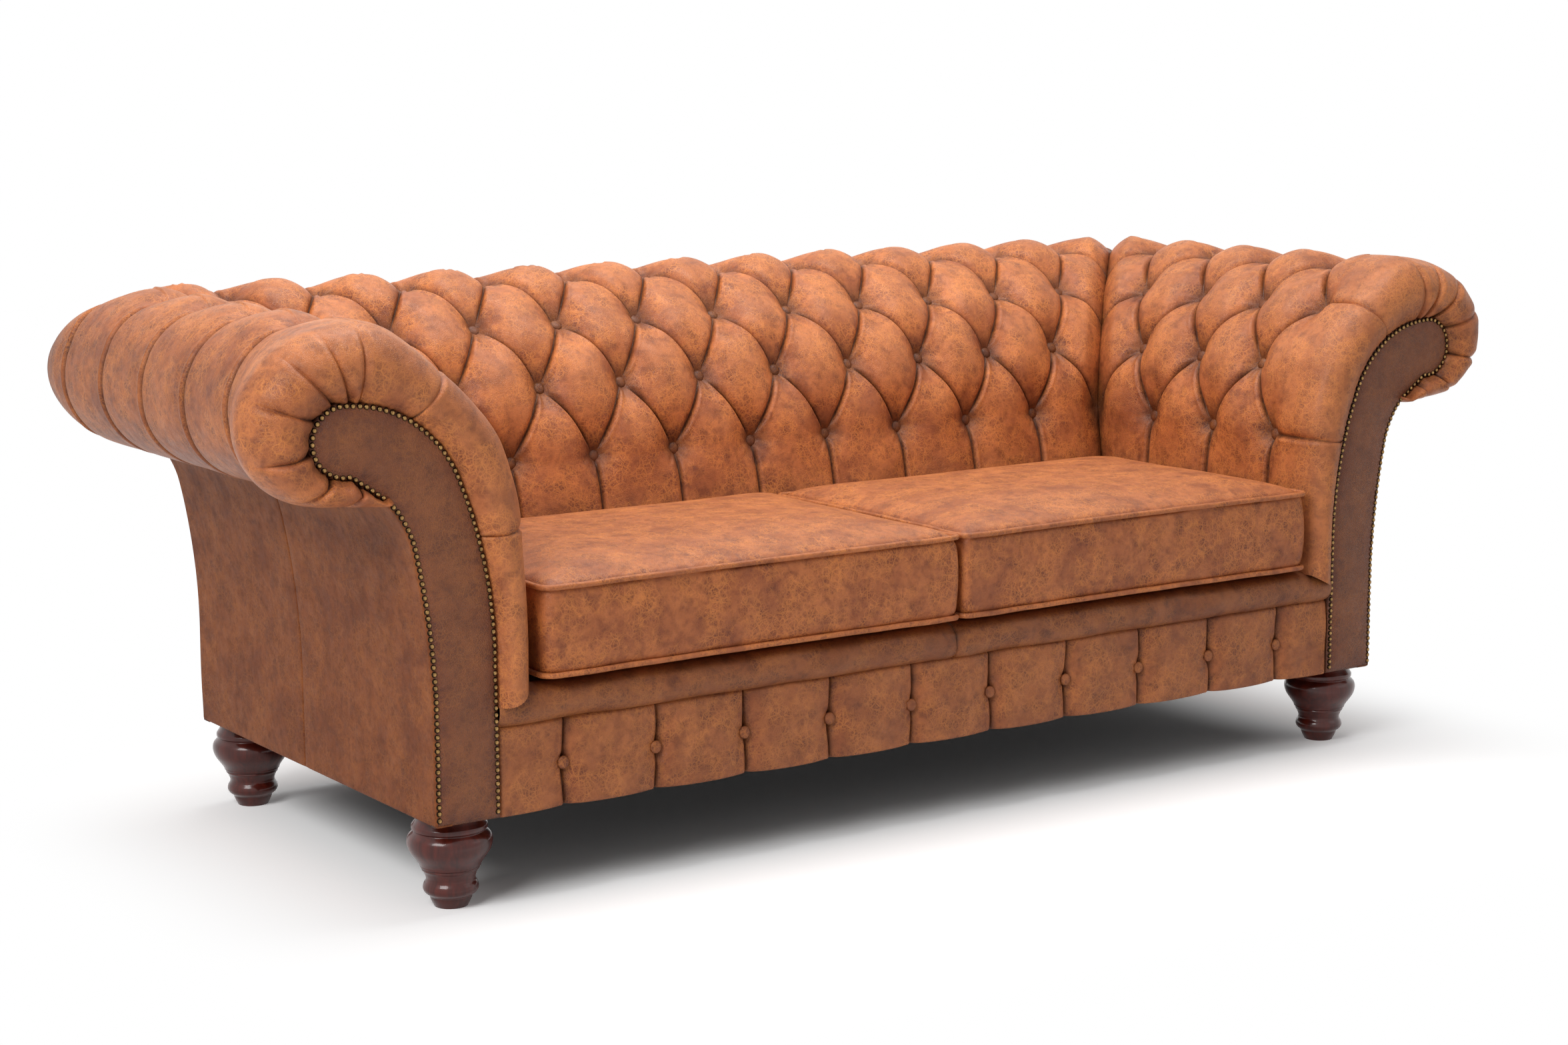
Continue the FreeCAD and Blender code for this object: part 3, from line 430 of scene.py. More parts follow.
def through(stops, steps):
    """A smooth line through the stops, with that many points between each two."""
    stops = np.array(stops, float)
    padded = np.concatenate([[2 * stops[0] - stops[1]], stops, [2 * stops[-1] - stops[-2]]])
    line = []
    for a, b, c, d in zip(padded, padded[1:], padded[2:], padded[3:]):
        for share in np.arange(steps) / steps:
            line.append(0.5 * (2 * b + (c - a) * share + (2 * a - 5 * b + 4 * c - d) * share ** 2
                               + (3 * b - a - 3 * c + d) * share ** 3))
    return np.array(line + [stops[-1]])


def spaced(line, count=None, pitch=None):
    """Points at equal steps and how far along each one is: count points round a closed line, or points
    about pitch mm apart from one end of a line to the other."""
    run = np.concatenate([[0], np.cumsum(np.hypot(*np.diff(line, axis=0).T))])
    if count:
        places = np.linspace(0, run[-1], count, endpoint=False)
    else:
        places = np.linspace(0, run[-1], int(run[-1] / pitch) + 1)
    return np.stack([np.interp(places, run, line[:, axis]) for axis in (0, 1)], -1), places


def across_line(line):
    """Direction square to a line of points, to the left of its travel."""
    along = np.gradient(line, axis=0)
    along /= np.linalg.norm(along, axis=1)[:, None]
    return np.stack([-along[:, 1], along[:, 0]], -1)


def into_scroll(run):
    """How far the nail line is from the button level, along the section's inward direction."""
    depth, height, side, rise = section(np.minimum(run, section_end(ARM_END)), 0.0)
    corners = outline(SCROLL, 6)
    edges = np.roll(corners, -1, axis=0) - corners
    found = np.full(run.shape, 14.0)
    for place, (x, z, dx, dz) in enumerate(zip(CORNER_ACROSS + depth, height, -side, -rise)):
        turn = dx * edges[:, 1] - dz * edges[:, 0]
        turn[np.abs(turn) < 1e-9] = 1e-9
        gap = corners - (x, z)
        ahead = (gap[:, 0] * edges[:, 1] - gap[:, 1] * edges[:, 0]) / turn
        share = (gap[:, 0] * dz - gap[:, 1] * dx) / turn
        hits = ahead[(ahead > -30) & (share >= 0) & (share <= 1)]
        if len(hits):
            found[place] = min(hits, key=abs)
    return found


# The padded ring round an arm's front: depth, and share of the way in from the cover to the nails

RING = [(-345, 0), (-366, 0), (-385, 0), (-402, 0.05), (-417, 0.13), (-430, 0.29), (-436, 0.46),
        (-436, 0.64), (-430, 0.82), (-421, 0.96), (-414, 1.02)]
# angles of its pleats round the roll, and the distances in mm of the extra rows beside each
RING_PLEATS = np.radians((92, 68, 42, 14, -18, -50, -80))
NEAR_PLEAT = np.array([-9, -6, -4, -2.6, -1.6, -0.8, 0, 0.8, 1.6, 2.6, 4, 6, 9])
# depths of the ring's bend and of the last padding that it takes from the cover
RING_BEND = -402
PADDING_END = -400
# how far the ring's rows turn round the roll on their way in, and where it ends behind the facing
RING_SWIRL = 11
RING_BACK = -406.0
RING_UNDER = 6
# where the front of the arm starts to swell, over which length and how far
SWELL_START, SWELL_LENGTH, SWELL = -246, 139, 46


def scroll_swell(run, depth):
    """The padded ring of the arm front swells outwards round the roll."""
    side, rise = section(run, 0.0)[2:]
    forward = ramp(SWELL_START - depth, SWELL_LENGTH)
    top = np.arctan2(rise, side)
    quarter = np.where((top < pi / 2) & (run >= ROLL_START), np.cos(top) ** 2, 0)
    return SWELL * quarter * forward * forward * (3 - 2 * forward)


def scroll_ring(run, tucked):
    """The ring's points and crown for a column of runs, from the plain front round to behind the nails."""
    line = through(RING, 3)[1:]
    share = line[:, 1][None]
    depth = line[:, 0][None] + np.maximum(0, RING_BEND - line[:, 0][None]) * ease(tucked * 3)
    ring_run = run + RING_SWIRL * ramp(run - ROLL_START, 60) * (1 - tucked) * share
    inset = np.interp(ring_run, run[:, 0], into_scroll(run[:, 0]))
    along = (CORNER_DEPTH - np.maximum(depth, PADDING_END)) / HALF_PITCH
    pad, lines, crown = tufting(along, ring_run / ROW_RISE, ARM_LAST, ARM_SEED)
    waves = ripple(ARM_WAVES, 130, along * HALF_PITCH, ring_run) * 0.9
    pad = (pad + waves) * (1 - tucked) + scroll_swell(ring_run, depth) * (1 - tucked)
    over = pad - share * (pad + inset)
    step_over, step_depth = np.gradient(over, axis=1), np.gradient(depth, axis=1)
    length = np.hypot(step_over, step_depth) + 1e-9
    lines = lines * (1 - 0.4 * ease(share))
    pull = ease((share - 0.02) / 0.35) * np.where(run > ROLL_START, 1 - tucked, 0)
    for number, centre in enumerate(RING_PLEATS):
        off = (section_end(centre) - run) * (1 - inset * share / ROLL[2])
        fold = crease(off) * 0.85 + 1.3 * bell(np.abs(off) - 9, 5)
        lines = lines + pull * fold * (1 - 0.25 * sin(number * 2.2 + 1) ** 2)
    # lower crown paints shade in the ring's pleats and where the ring turns in towards the nails
    crown = np.clip(crown + 0.3 + np.minimum(0, lines) / 14, 0, 1)
    crown = np.clip(crown - 0.5 * ease((share - 0.7) / 0.3), 0, 1)
    gathers = ripple(31, 11, run + share * 3) * 0.5 * ease((share - 0.5) / 0.5)
    lines = lines * (1 - tucked) + gathers
    ring = on_arm(ring_run, depth + lines * step_over / length, over + lines * -step_depth / length)
    under = on_arm(ring_run[:, -1:], RING_BACK, -(inset[:, -1:] + RING_UNDER))
    # at its foot the ring hangs a little lower than the cover
    drop = 18 * np.clip((run + 211) / -60 + 1, 0, 1) ** 2
    ring[..., 2] -= drop * ease((share - 0.15) / 0.8)
    under[..., 2] -= drop
    # the part behind the facing has no crown and is painted fully in shade
    return np.concatenate([ring, under], axis=1), np.concatenate([crown, np.zeros_like(run)], axis=1)


def tufted_arm(material):
    """Inside, roll and front ring of an arm as one cover."""
    ring_start = (CORNER_DEPTH - RING[0][0]) / HALF_PITCH
    extra = (section_end(RING_PLEATS)[:, None] + NEAR_PLEAT).ravel() / ROW_RISE
    along, rows, rises = cover_grid(0.0, ARM_END, ARM_LAST, ring_start, extra)
    run = rows * ROW_RISE
    limit = mitre_limit(run, 0.0)
    along = np.clip(along, (-limit - PAST_MITRE) / HALF_PITCH, ring_start)
    along[:, -1] = ring_start
    depth = CORNER_DEPTH - HALF_PITCH * along
    tucked = ramp(run - section_end(ARM_END), TUCK * ROLL[2])
    offset, crown = cover_offset(along, rows, limit + along * HALF_PITCH, tucked, ARM_LAST, ARM_SEED,
                                 ARM_WAVES, scroll_swell(run, depth))
    ring, ring_crown = scroll_ring(run[:, -1:], tucked[:, -1:])
    grid = np.concatenate([on_arm(run, depth, offset), ring], axis=1)
    crown = np.concatenate([crown, ring_crown], axis=1).reshape(-1)
    unsplit = np.zeros((len(run) - 1, ring.shape[1]), bool)
    faces = grid_faces(*grid.shape[:2], rises=np.concatenate([rises, unsplit], axis=1))
    points, faces, crown = tidy_triangles(grid.reshape(-1, 3), faces, crown)
    on_both_sides("tufted_inside_arm", points, faces, material, nodes=["{side}_arm_inside_cover"],
                  crown=crown, fill=0.9)


# Covered buttons, as radius and level from the top out and down

BUTTON = [(0, 6.0), (3.6, 5.8), (6.4, 5.1), (8.6, 3.9), (10.0, 2.2), (10.4, 0.6), (9.8, -0.8), (6, -2.0)]
BORDER_BUTTON = [(0, 5.2), (4.0, 5.1), (6.6, 4.7), (8.1, 3.9), (8.9, 2.6), (9.0, 1.2), (8.5, 0.0), (5, -1.0)]
BUTTON_SUNK = 4.6
# share of its crown that a button keeps, since it lies in the shade of its pit
BUTTON_CROWN = 0.13
BORDER_BUTTON_CROWN = 0.36


def domes(places, outwards, profile, sides):
    """Turned caps at each place, and the crown of their points; the profile goes from the top down."""
    angles = 2 * pi * np.arange(sides) / sides
    radius, level = np.array(profile[1:], float).T[..., None]
    ring = spread(radius * np.cos(angles), radius * np.sin(angles), level).reshape(-1, 3)
    cap = np.concatenate([[(0, 0, profile[0][1])], ring])
    skin = [(0, 1 + corner, 1 + (corner + 1) % sides) for corner in range(sides)]
    skin += [tuple(face[::-1] + 1) for face in grid_faces(len(radius), sides, closed=True)]
    skin.append(tuple(reversed(range(len(cap) - sides, len(cap)))))
    points, faces = [], []
    for number, (place, outward) in enumerate(zip(places, outwards)):
        normal = Vector(outward).normalized()
        across = normal.orthogonal().normalized()
        points.append(cap @ np.array((across, normal.cross(across), normal)) + place)
        faces += [tuple(number * len(cap) + corner for corner in face) for face in skin]
    # crown falls from the top to the rim, where the materials paint shade
    crown = np.concatenate([[1], np.maximum(0, cap[1:, 2] / cap[:, 2].max())])
    return np.concatenate(points), faces, np.tile(crown, len(points))


def button_lattice(highs, lean):
    """Distance from the corner in mm, run up the section and outward direction of each button, row by
    row up to the ends given."""
    lows = (2, 1, 0, -1)
    spots = [(along, row) for row in range(TOP_ROW + 1) for along in range(lows[row], highs[row] + 1, 2)]
    along, row = np.array(spots).T
    side, rise = section(row * ROW_RISE, lean)[2:]
    return HALF_PITCH * along, row * ROW_RISE, side, rise


def covered_buttons(material):
    from_corner, run, side, rise = button_lattice((18, 19, 20, 21), BACK_LEAN)
    places = on_back(run, CORNER_ACROSS - from_corner, -BUTTON_SUNK)
    points, faces, crown = domes(places, spread(0, side, rise), BUTTON, 20)
    finished("back_covered_buttons", points, faces, material, nodes=["back_buttons"],
             crown=crown * BUTTON_CROWN)
    from_corner, run, side, rise = button_lattice((6, 5, 6, 5), 0.0)
    places = on_arm(run, CORNER_DEPTH - from_corner, -BUTTON_SUNK)
    points, faces, crown = domes(places, spread(side, 0, rise), BUTTON, 20)
    on_both_sides("arm_covered_buttons", points, faces, material, nodes=["{side}_arm_buttons"],
                  crown=crown * BUTTON_CROWN)
    places = [(pleat - 2.0, -405.5, BORDER_BUTTON_LEVEL) for pleat in BORDER_PLEATS]
    points, faces, crown = domes(places, [(0, -1, 0.05)] * len(places), BORDER_BUTTON, 24)
    finished("border_covered_buttons", points, faces, material, nodes=["front_border_buttons"],
             crown=crown * BORDER_BUTTON_CROWN)


# Scroll facings and their nails

# radius and level from the top out and down
NAIL = [(0, 2.9), (1.3, 2.7), (2.5, 2.1), (3.4, 1.2), (3.9, 0.3), (4.05, -0.5)]
NAIL_INSET = 4.6
NAIL_PITCH = 9.2


def from_outline(points, edge):
    """Distance of each point from the closed outline, and whether it is inside."""
    nearest = np.full(len(points), 1e9)
    crossings = np.zeros(len(points), int)
    for start, end in zip(edge, np.roll(edge, -1, axis=0)):
        run = end - start
        share = np.clip(((points - start) @ run) / (run @ run), 0, 1)
        nearest = np.minimum(nearest, np.hypot(*(points - start - share[:, None] * run).T))
        spans = (start[1] > points[:, 1]) != (end[1] > points[:, 1])
        if run[1]:
            meets = start[0] + (points[:, 1] - start[1]) * run[0] / run[1]
            crossings += spans & (points[:, 0] < meets)
    return nearest, crossings % 2 == 1


def inset_line(edge, inset):
    """The clockwise outline moved inwards, without the points that fall too near another side."""
    along = np.roll(edge, -1, axis=0) - np.roll(edge, 1, axis=0)
    along /= np.linalg.norm(along, axis=1)[:, None]
    moved = edge - inset * np.stack([-along[:, 1], along[:, 0]], -1)
    away, inside = from_outline(moved, edge)
    return moved[inside & (away > inset * 0.93)]


def facing(material):
    """A thinly padded facing over the scrolled arm front."""
    edge = outline(SCROLL, 4.0)
    edge = np.concatenate([edge, arc_points(edge[-1], edge[0], 0, 4.0)])[:-1]
    low, high = edge.min(axis=0), edge.max(axis=0)
    step = 6.0
    xs, zs = np.meshgrid(np.arange(low[0], high[0], step), np.arange(low[1], high[1], step))
    xs[1::2] += step / 2
    inner = np.stack([xs.ravel(), zs.ravel()], -1)
    away, inside = from_outline(inner, edge)
    points = np.concatenate([edge, inset_line(edge, 1.4), inner[inside & (away > 3.4)]])
    count = len(edge)
    bounds = [(place, (place + 1) % count) for place in range(count)]
    flat, _, faces, *_ = delaunay_2d_cdt([Vector(point) for point in points], bounds, [], 1, 1e-4)
    flat = np.array([tuple(point) for point in flat])
    away, _ = from_outline(flat, edge)
    crown = 1 - np.exp(-away / 13)
    unevenness = ripple(21, 60, flat[:, 0], flat[:, 1]) * 0.25 * crown
    swell = 5.2 * crown + unevenness - 1.3 * bell(away - NAIL_INSET, 3.0)
    skin = np.stack([flat[:, 0], FACING_FRONT + 0.8 + edge_fall(away, 2.6) - swell, flat[:, 1]], -1)
    rim = np.stack([edge[:, 0], np.full(count, -404.0), edge[:, 1]], -1)
    order = [int(np.argmin(np.hypot(*(flat - point).T))) for point in edge]
    total = len(skin)
    sides = [(order[k], order[(k + 1) % count], total + (k + 1) % count, total + k) for k in range(count)]
    # the crown falls towards the edge and the nail line, where the leather paints shade, and is 0 on the rim
    on_both_sides("padded_facing", np.concatenate([skin, rim]), [tuple(face) for face in faces] + sides,
                  material, nodes=["{side}_scroll_facing"],
                  crown=np.concatenate([0.25 + 0.75 * crown, np.zeros(count)]))


def nails(material):
    line = inset_line(outline(SCROLL, 2.0), NAIL_INSET)
    places = spaced(line[line[:, 1] > LEATHER_BOTTOM + 9], pitch=NAIL_PITCH)[0]
    draw = np.random.default_rng(5)
    outwards = [(tilt[0], -1, tilt[1]) for tilt in draw.normal(0, 0.05, (len(places), 2))]
    seats = [(x + push[0], FACING_FRONT - 0.2, z + push[1])
             for (x, z), push in zip(places, draw.normal(0, 0.18, (len(places), 2)))]
    points, faces, crown = domes(seats, outwards, NAIL, 12)
    on_both_sides("brass_nails", points, faces, material, "aged_brass", nodes=["{side}_nail_trim"],
                  crown=crown)


# Outside panels: the line down the outside of an arm, turned in below, in X and Z

PANEL = np.concatenate([outline([(916, PANEL_TOP), *SCROLL[5:8], (848, 128)], 9.0),
                        [(847.2, 125.4), (845.2, 124.3), (841, 124.0), (824, 124.2)]])
SIDE_SEAM = -22.0
# radius of the rolled ends of the arms' hides and of the back's
ARM_EDGE = 3.2
BACK_EDGE = 3.4


def away_from_ends(height, width):
    """0 at the bottom and top of the outside panels, 1 further in."""
    return ramp(np.minimum(height - LEATHER_BOTTOM, PANEL_TOP - height), width)


def outside_arm(material):
    """Two hides that meet in an upright seam; their ends roll in."""
    outward = across_line(PANEL)
    across, height = PANEL[:, :1], PANEL[:, 1:]
    rolled = ARM_EDGE * (1 - np.sin(np.linspace(0, pi / 2, 6)))
    for name, front, rear, seed in (("front", -417.6, SIDE_SEAM, 41), ("rear", SIDE_SEAM, 336.4, 42)):
        middle = np.linspace(front + ARM_EDGE, rear - ARM_EDGE, int((rear - front) / 9))[1:-1]
        depth = np.concatenate([front + rolled[::-1], middle, rear - rolled])[None]
        to_seam = np.abs(depth - SIDE_SEAM)
        body = ramp(to_seam, 60) * away_from_ends(height, 50) * ramp(depth + 417, 80)
        waves = ripple(seed, 210, depth, height) * 0.9
        puckers = ripple(seed + 7, 26, height) * 0.35 * decay(to_seam, 9)
        fall = edge_fall(np.minimum(depth - front, rear - depth), ARM_EDGE)
        offset = 0.5 + waves * body + puckers - fall - 1.0 * decay(to_seam, 6)
        points, faces = sheet(across + outward[:, :1] * offset, depth, height + outward[:, 1:] * offset,
                              (1, 0, 0))
        on_both_sides(f"outside_arm_{name}_hide", points, faces, material,
                      nodes=["{side}_outside_arm_" + name], crown=0.62)


def outside_back(material):
    """One hide, with finer columns where its ends roll in."""
    across, height = PANEL[PANEL[:, 1] < PANEL_TOP].T[..., None]
    end = -np.cos(np.linspace(0, pi / 2, 9)) * 0.01 - 0.99
    shares = np.concatenate([end, np.linspace(-0.99, 0.99, 150)[1:-1], -end[::-1]])[None]
    edge = (1 - np.abs(shares)) * across
    body = ramp(edge, 70) * away_from_ends(height, 60)
    waves = ripple(51, 260, across * shares, height) * 1.1
    rear = REAR + body * (1.6 + waves) - edge_fall(edge, BACK_EDGE)
    rear = np.where(height < 124.25, rear - (848 - across) * 0.9, rear)
    points, faces = sheet(np.where(height < 126, 847.8, across) * shares, rear, height, (0, 1, 0))
    finished("outside_back_hide", points, faces, material, nodes=["outside_back_panel"], crown=0.62)


# Front border and lip

BORDER_HALF = 753.6
BORDER_BUTTON_LEVEL = 182
# number of the last pleat, counted from 0
BORDER_LAST = 9
BORDER_PLEATS = [(place - BORDER_LAST / 2) * 2 * HALF_PITCH for place in range(BORDER_LAST + 1)]
# depth and height round the lip
LIP = [(-382, 243), (-396, 241.5), (-409, 243), (-418.5, 250), (-423.5, 262), (-423, 275), (-417, 286),
       (-406, 292), (-394, 293.5), (-382, 292)]


def front_border(material):
    """Pouches between upright pleats, each pleat drawn in by a button, over a scalloped hem."""
    phase = np.linspace(-BORDER_HALF, BORDER_HALF, 620) / (2 * HALF_PITCH) + BORDER_LAST / 2
    inside = (phase > -0.3) & (phase < BORDER_LAST + 0.3)
    phase = np.where(inside, phase - 0.62 / (2 * pi) * np.sin(2 * pi * phase), phase)
    across = (phase - BORDER_LAST / 2) * 2 * HALF_PITCH
    near = np.clip(np.round(phase), 0, BORDER_LAST)
    off = (phase - near) * 2 * HALF_PITCH
    up = np.concatenate([[124.6, 124.0, 124.2, 125.6], np.linspace(128, 238, 34), [241.5, 246]])[:, None]
    inward = np.concatenate([[16, 6, 2.2, 0.5], np.zeros(34), [1.5, 8]])[:, None]
    tall = (up - LEATHER_BOTTOM) / 117
    off = off[None] + 2.2 * np.sin(tall * pi * 1.3 + near[None] * 2.1) * decay(off[None], 30)
    pouch = np.abs(np.sin(pi * np.clip(off / (2 * HALF_PITCH), -0.5, 0.5)))
    shape = 1 - (1 - pouch) ** 2.2
    end = ramp(BORDER_HALF - np.abs(across), 5)[None]
    filled = ramp(np.abs(across) - 700, 50)[None]
    body = 0.80 + 0.20 * np.sin(pi * ramp(tall))
    away = np.hypot(off, up - BORDER_BUTTON_LEVEL)
    turn = np.arctan2(up - BORDER_BUTTON_LEVEL, off)
    dent = -5.5 * bell(away, 17)
    pucker = 0.9 * np.sin(turn * 8 + near[None] * 2) * bell(away - 17, 10)
    swell = (3.2 + 9.0 * shape * body + 1.5 * filled) * (0.5 + 0.5 * ease(end))
    swell = swell + dent * (1 - shape * 0.3) + pucker
    lines = crease(off * 0.95) * 0.85 + ripple(61, 90, across[None], up) * 0.7
    hem = 1.6 * np.sin(pi * np.abs(off) / (2 * HALF_PITCH)) * np.clip(1 - tall * 3, 0, 1)
    points, faces = sheet(across[None], -403.2 - swell - lines + inward, up - hem, (0, -1, 0))
    # lower crown between the pouches paints shade in the pleats
    crown = np.clip(0.35 + 0.5 * shape + 0.05 * lines, 0, 1).reshape(-1)
    finished("front_border_hide", points, faces, material, nodes=["front_border_cover"], crown=crown,
             fill=0.7)


def front_lip(material):
    """The padded lip under the cushions, with a seam in the middle; columns are finer towards it."""
    across = np.linspace(-BORDER_HALF, BORDER_HALF, 420)
    across = (np.sign(across) * np.abs(across / BORDER_HALF) ** 1.35 * BORDER_HALF)[None]
    line = through(LIP, 4)
    outward = across_line(line)
    depth, height = line[:, :1], line[:, 1:]
    off = np.abs(across)
    front = np.clip(-(depth + 396) / 20, 0, 1)
    waves = ripple(71, 120, across, height * 3) * 1.1
    seam = -3.4 * np.exp(-off / 2.4) - 1.4 * bell(off, 16)
    puckers = ripple(72, 17, height * 1.4) * 0.7 * np.exp(-off / 14)
    ends = -2.5 * np.exp(-(BORDER_HALF - off) / 4)
    offset = (waves + puckers + ends) * front + seam * np.clip(front + 0.3, 0, 1)
    points, faces = sheet(across, depth + outward[:, :1] * offset, height + outward[:, 1:] * offset,
                          (0, -1, 0))
    # lower crown in the seam and the hollows of the waves paints shade there
    crown = np.clip(0.75 + 0.12 * (seam + waves), 0, 1).reshape(-1)
    finished("front_lip_hide", points, faces, material, nodes=["front_lip_cover"], crown=crown, fill=0.7)


# Seat deck under the cushions

DECK_HALF = 755
DECK_FRONT, DECK_REAR = -381.5, 168


def seat_deck(material):
    """Cloth over the deck pad, pulled down along a seam near the front."""
    across = np.linspace(-DECK_HALF, DECK_HALF, 160)[None]
    depth = np.linspace(DECK_FRONT, DECK_REAR, 60)[:, None]
    edge = np.minimum(DECK_HALF - np.abs(across), np.minimum(depth - DECK_FRONT, DECK_REAR - depth))
    rise = 289.5 + 2.6 * (1 - np.exp(-edge / 18)) + ripple(81, 170, across, depth) * 0.25
    rise = rise - 1.6 * decay(depth + 290, 2.5)
    points, faces = sheet(across, depth, np.minimum(rise, SEAT_LEVEL - 0.1), (0, 0, 1))
    finished("seat_deck_cloth", points, faces, material, "deck_cloth", nodes=["deck_cover"], crown=0.6,
             fill=0.5)


# Seat cushions

CUSHION_LOW = (4.0, -432.0)
CUSHION_HIGH = (689.0, 50.0)
# heights of the piping and of the top's crown
LOWER_WELT, UPPER_WELT = 306.0, 423.5
CUSHION_CROWN = 452.0
# how far the middles of the sides draw in, and the piping's radius
CUSHION_PINCH = 6
PIPING = 3.9
# rings of the underside, as inset, height and how far the middles of the sides draw in
UNDERSIDE = ((230, 293, 0), (150, 293, 0), (95, 293, 2), (62, 293.6, 4), (40, 295.4, 5), (22, 297.6, 6),
             (10, 300.4, 6), (6, 302.2, 6), (5.2, 304, 6), (4.4, 306.6, 6))
# distances in from the upper piping of the rings of the top
TOP_REACHES = (0.0, 0.35, 1, 2.2, 4, 7, 11, 16, 22, 30, 40, 52, 66, 82, 100, 120, 142, 166, 190, 212, 228)


def cushion_loop(inset, pinch):
    """Points round a cushion with rounded corners, drawn in between them, and how far round each is."""
    low, high = np.add(CUSHION_LOW, inset), np.subtract(CUSHION_HIGH, inset)
    (low_x, low_y), (high_x, high_y) = low, high
    middle, half = (low + high) / 2, (high - low) / 2
    outer, inner = (min(radius + min(inset, 60) * 0.3, half.min() - 0.5) for radius in (20.0, 13.0))
    corners = [(high_x - outer, low_y + outer, -pi / 2, outer), (high_x - outer, high_y - outer, 0, outer),
               (low_x + inner, high_y - inner, pi / 2, inner), (low_x + inner, low_y + inner, pi, inner)]
    line = [(x + radius * cos(angle), y + radius * sin(angle)) for x, y, start, radius in corners
            for angle in np.linspace(start, start + pi / 2, 14)]
    points, places = spaced(np.array(line + [line[0]]), count=440)
    share = (points - middle) / half
    on_x = np.abs(share[:, 0]) > np.abs(share[:, 1])
    waist = np.cos(np.abs(share).min(axis=1) * pi / 2)
    toward = np.sign(share) * np.stack([on_x, ~on_x], -1)
    return points - toward * (pinch * waist)[:, None], places


def strip_fill(points, first, count):
    """Faces across a long closed loop of points, from one side to the other."""
    loop = points[first:first + count]
    tip = int(np.argmax(loop[:, 0] - 0.01 * np.abs(loop[:, 1] - loop[:, 1].mean())))
    faces = []
    for step in range(count // 2):
        corners = (tip + step, tip + step + 1, tip - step - 1, tip - step)
        faces.append(tuple(dict.fromkeys(first + corner % count for corner in corners)))
    return faces


def side_ring(share):
    """Points of a cushion's side, share of the way from the lower piping to the upper."""
    bulge = 4.4 * sin(pi * share) ** 0.7
    to_seam = min(share, 1 - share)
    cleft = 4.2 * exp(-to_seam * 117 / 4)
    loop, run = cushion_loop(2.6 - bulge + cleft, CUSHION_PINCH - 2.5 * sin(pi * share))
    to_seam *= UPPER_WELT - LOWER_WELT
    push = ripple(91, 34, run) * 0.7 * np.exp(-to_seam / 14) + ripple(92, 150, run, share * 90) * 1.1
    outward = loop - loop.mean(axis=0)
    outward /= np.linalg.norm(outward, axis=1)[:, None]
    return spread(*(loop + outward * push[:, None]).T, LOWER_WELT + (UPPER_WELT - LOWER_WELT) * share)


def top_ring(reach):
    """Points of a cushion's top, reach mm in from the upper piping."""
    rise = (CUSHION_CROWN - UPPER_WELT - 1.5) * (1 - (1 - min(1, reach / 190)) ** 2.6)
    height = min(CUSHION_CROWN, UPPER_WELT - 4.2 + 9.5 * (1 - exp(-reach / 7)) + rise * 0.84)
    loop, run = cushion_loop(3.6 + reach * 0.995, CUSHION_PINCH * max(0.0, 1 - reach / 120))
    lift = ripple(93, 30, run) * 0.7 * np.exp(-reach / 16) * (reach > 0.5)
    lift = lift + ripple(94, 240, loop[:, 0], loop[:, 1]) * 1.3 * min(1, reach / 70)
    return spread(*loop.T, np.minimum(height + lift, CUSHION_CROWN + 2))


def cushion_cover(material):
    """A crowned box cushion with piping, ring by ring from the middle of its underside to its top's."""
    # crown as painted light: the underside and the top beside the upper piping darker as painted shade, the
    # sides plain and the top painted lighter
    rings = [(spread(*cushion_loop(inset, pinch)[0].T, height), 0.45) for inset, height, pinch in UNDERSIDE]
    rings += [(side_ring(share), 0.6) for share in np.linspace(0.04, 0.96, 22)]
    rings += [(top_ring(reach), 0.85 if reach > 8 else 0.45) for reach in TOP_REACHES]
    points = np.concatenate([ring for ring, _ in rings])
    count = len(rings[0][0])
    crown = np.repeat([shade for _, shade in rings], count)
    faces = [tuple(face) for face in grid_faces(len(rings), count, closed=True)]
    faces += [face[::-1] for face in strip_fill(points, 0, count)]
    faces += strip_fill(points, len(points) - count, count)
    on_both_sides("seat_cushion", points, faces, material, body="{side}_cushion",
                  nodes=["{side}_cushion_cover"], crown=crown, fill=0.85)
    for name, level in (("lower", LOWER_WELT), ("upper", UPPER_WELT)):
        loop, run = cushion_loop(0.2, CUSHION_PINCH)
        tube, skin = piped(np.column_stack([loop, level + ripple(95, 90, run) * 0.3]), PIPING, 10)
        on_both_sides(f"cushion_{name}_piping", tube, skin, material, body="{side}_cushion", crown=0.75)


def piped(path, radius, sides):
    """A closed cord of piping along a level path."""
    toward = np.roll(path, -1, axis=0) - np.roll(path, 1, axis=0)
    toward /= np.linalg.norm(toward, axis=1)[:, None]
    outward = np.cross(toward, (0, 0, 1))
    angles = 2 * pi * np.arange(sides) / sides
    up = np.array((0, 0, 1))
    rings = [path + outward * radius * cos(angle) + up * radius * sin(angle) for angle in angles]
    points = np.stack(rings, 1).reshape(-1, 3)
    low = np.arange(len(points)).reshape(len(path), sides)
    high = np.roll(low, -1, axis=0)
    faces = np.stack([low, high, np.roll(high, -1, axis=1), np.roll(low, -1, axis=1)], -1).reshape(-1, 4)
    return points, faces


# Turned feet, as radius and height

FOOT = [(22.5, 0), (24, 3), (26.5, 8), (28, 12), (28.5, 14.5), (31.5, 17), (35, 20), (37.1, 25), (36, 31),
        (33.5, 35), (32.8, 39), (34, 43), (36, 47.7), (38.5, 51), (38, 53), (40.5, 55), (41, 57), (42, 59),
        (44.5, 63), (50, 70.5), (54.5, 78), (57, 87.5), (55.5, 96), (50, 102), (48.5, 104), (50.4, 106.4),
        (50.4, 111), (48.8, 113.4), (46, 118), (44, 124.2)]
FOOT_ACROSS = 798
FOOT_DEPTHS = (("front", -358), ("rear", 277))
FOOT_SIDES = 56


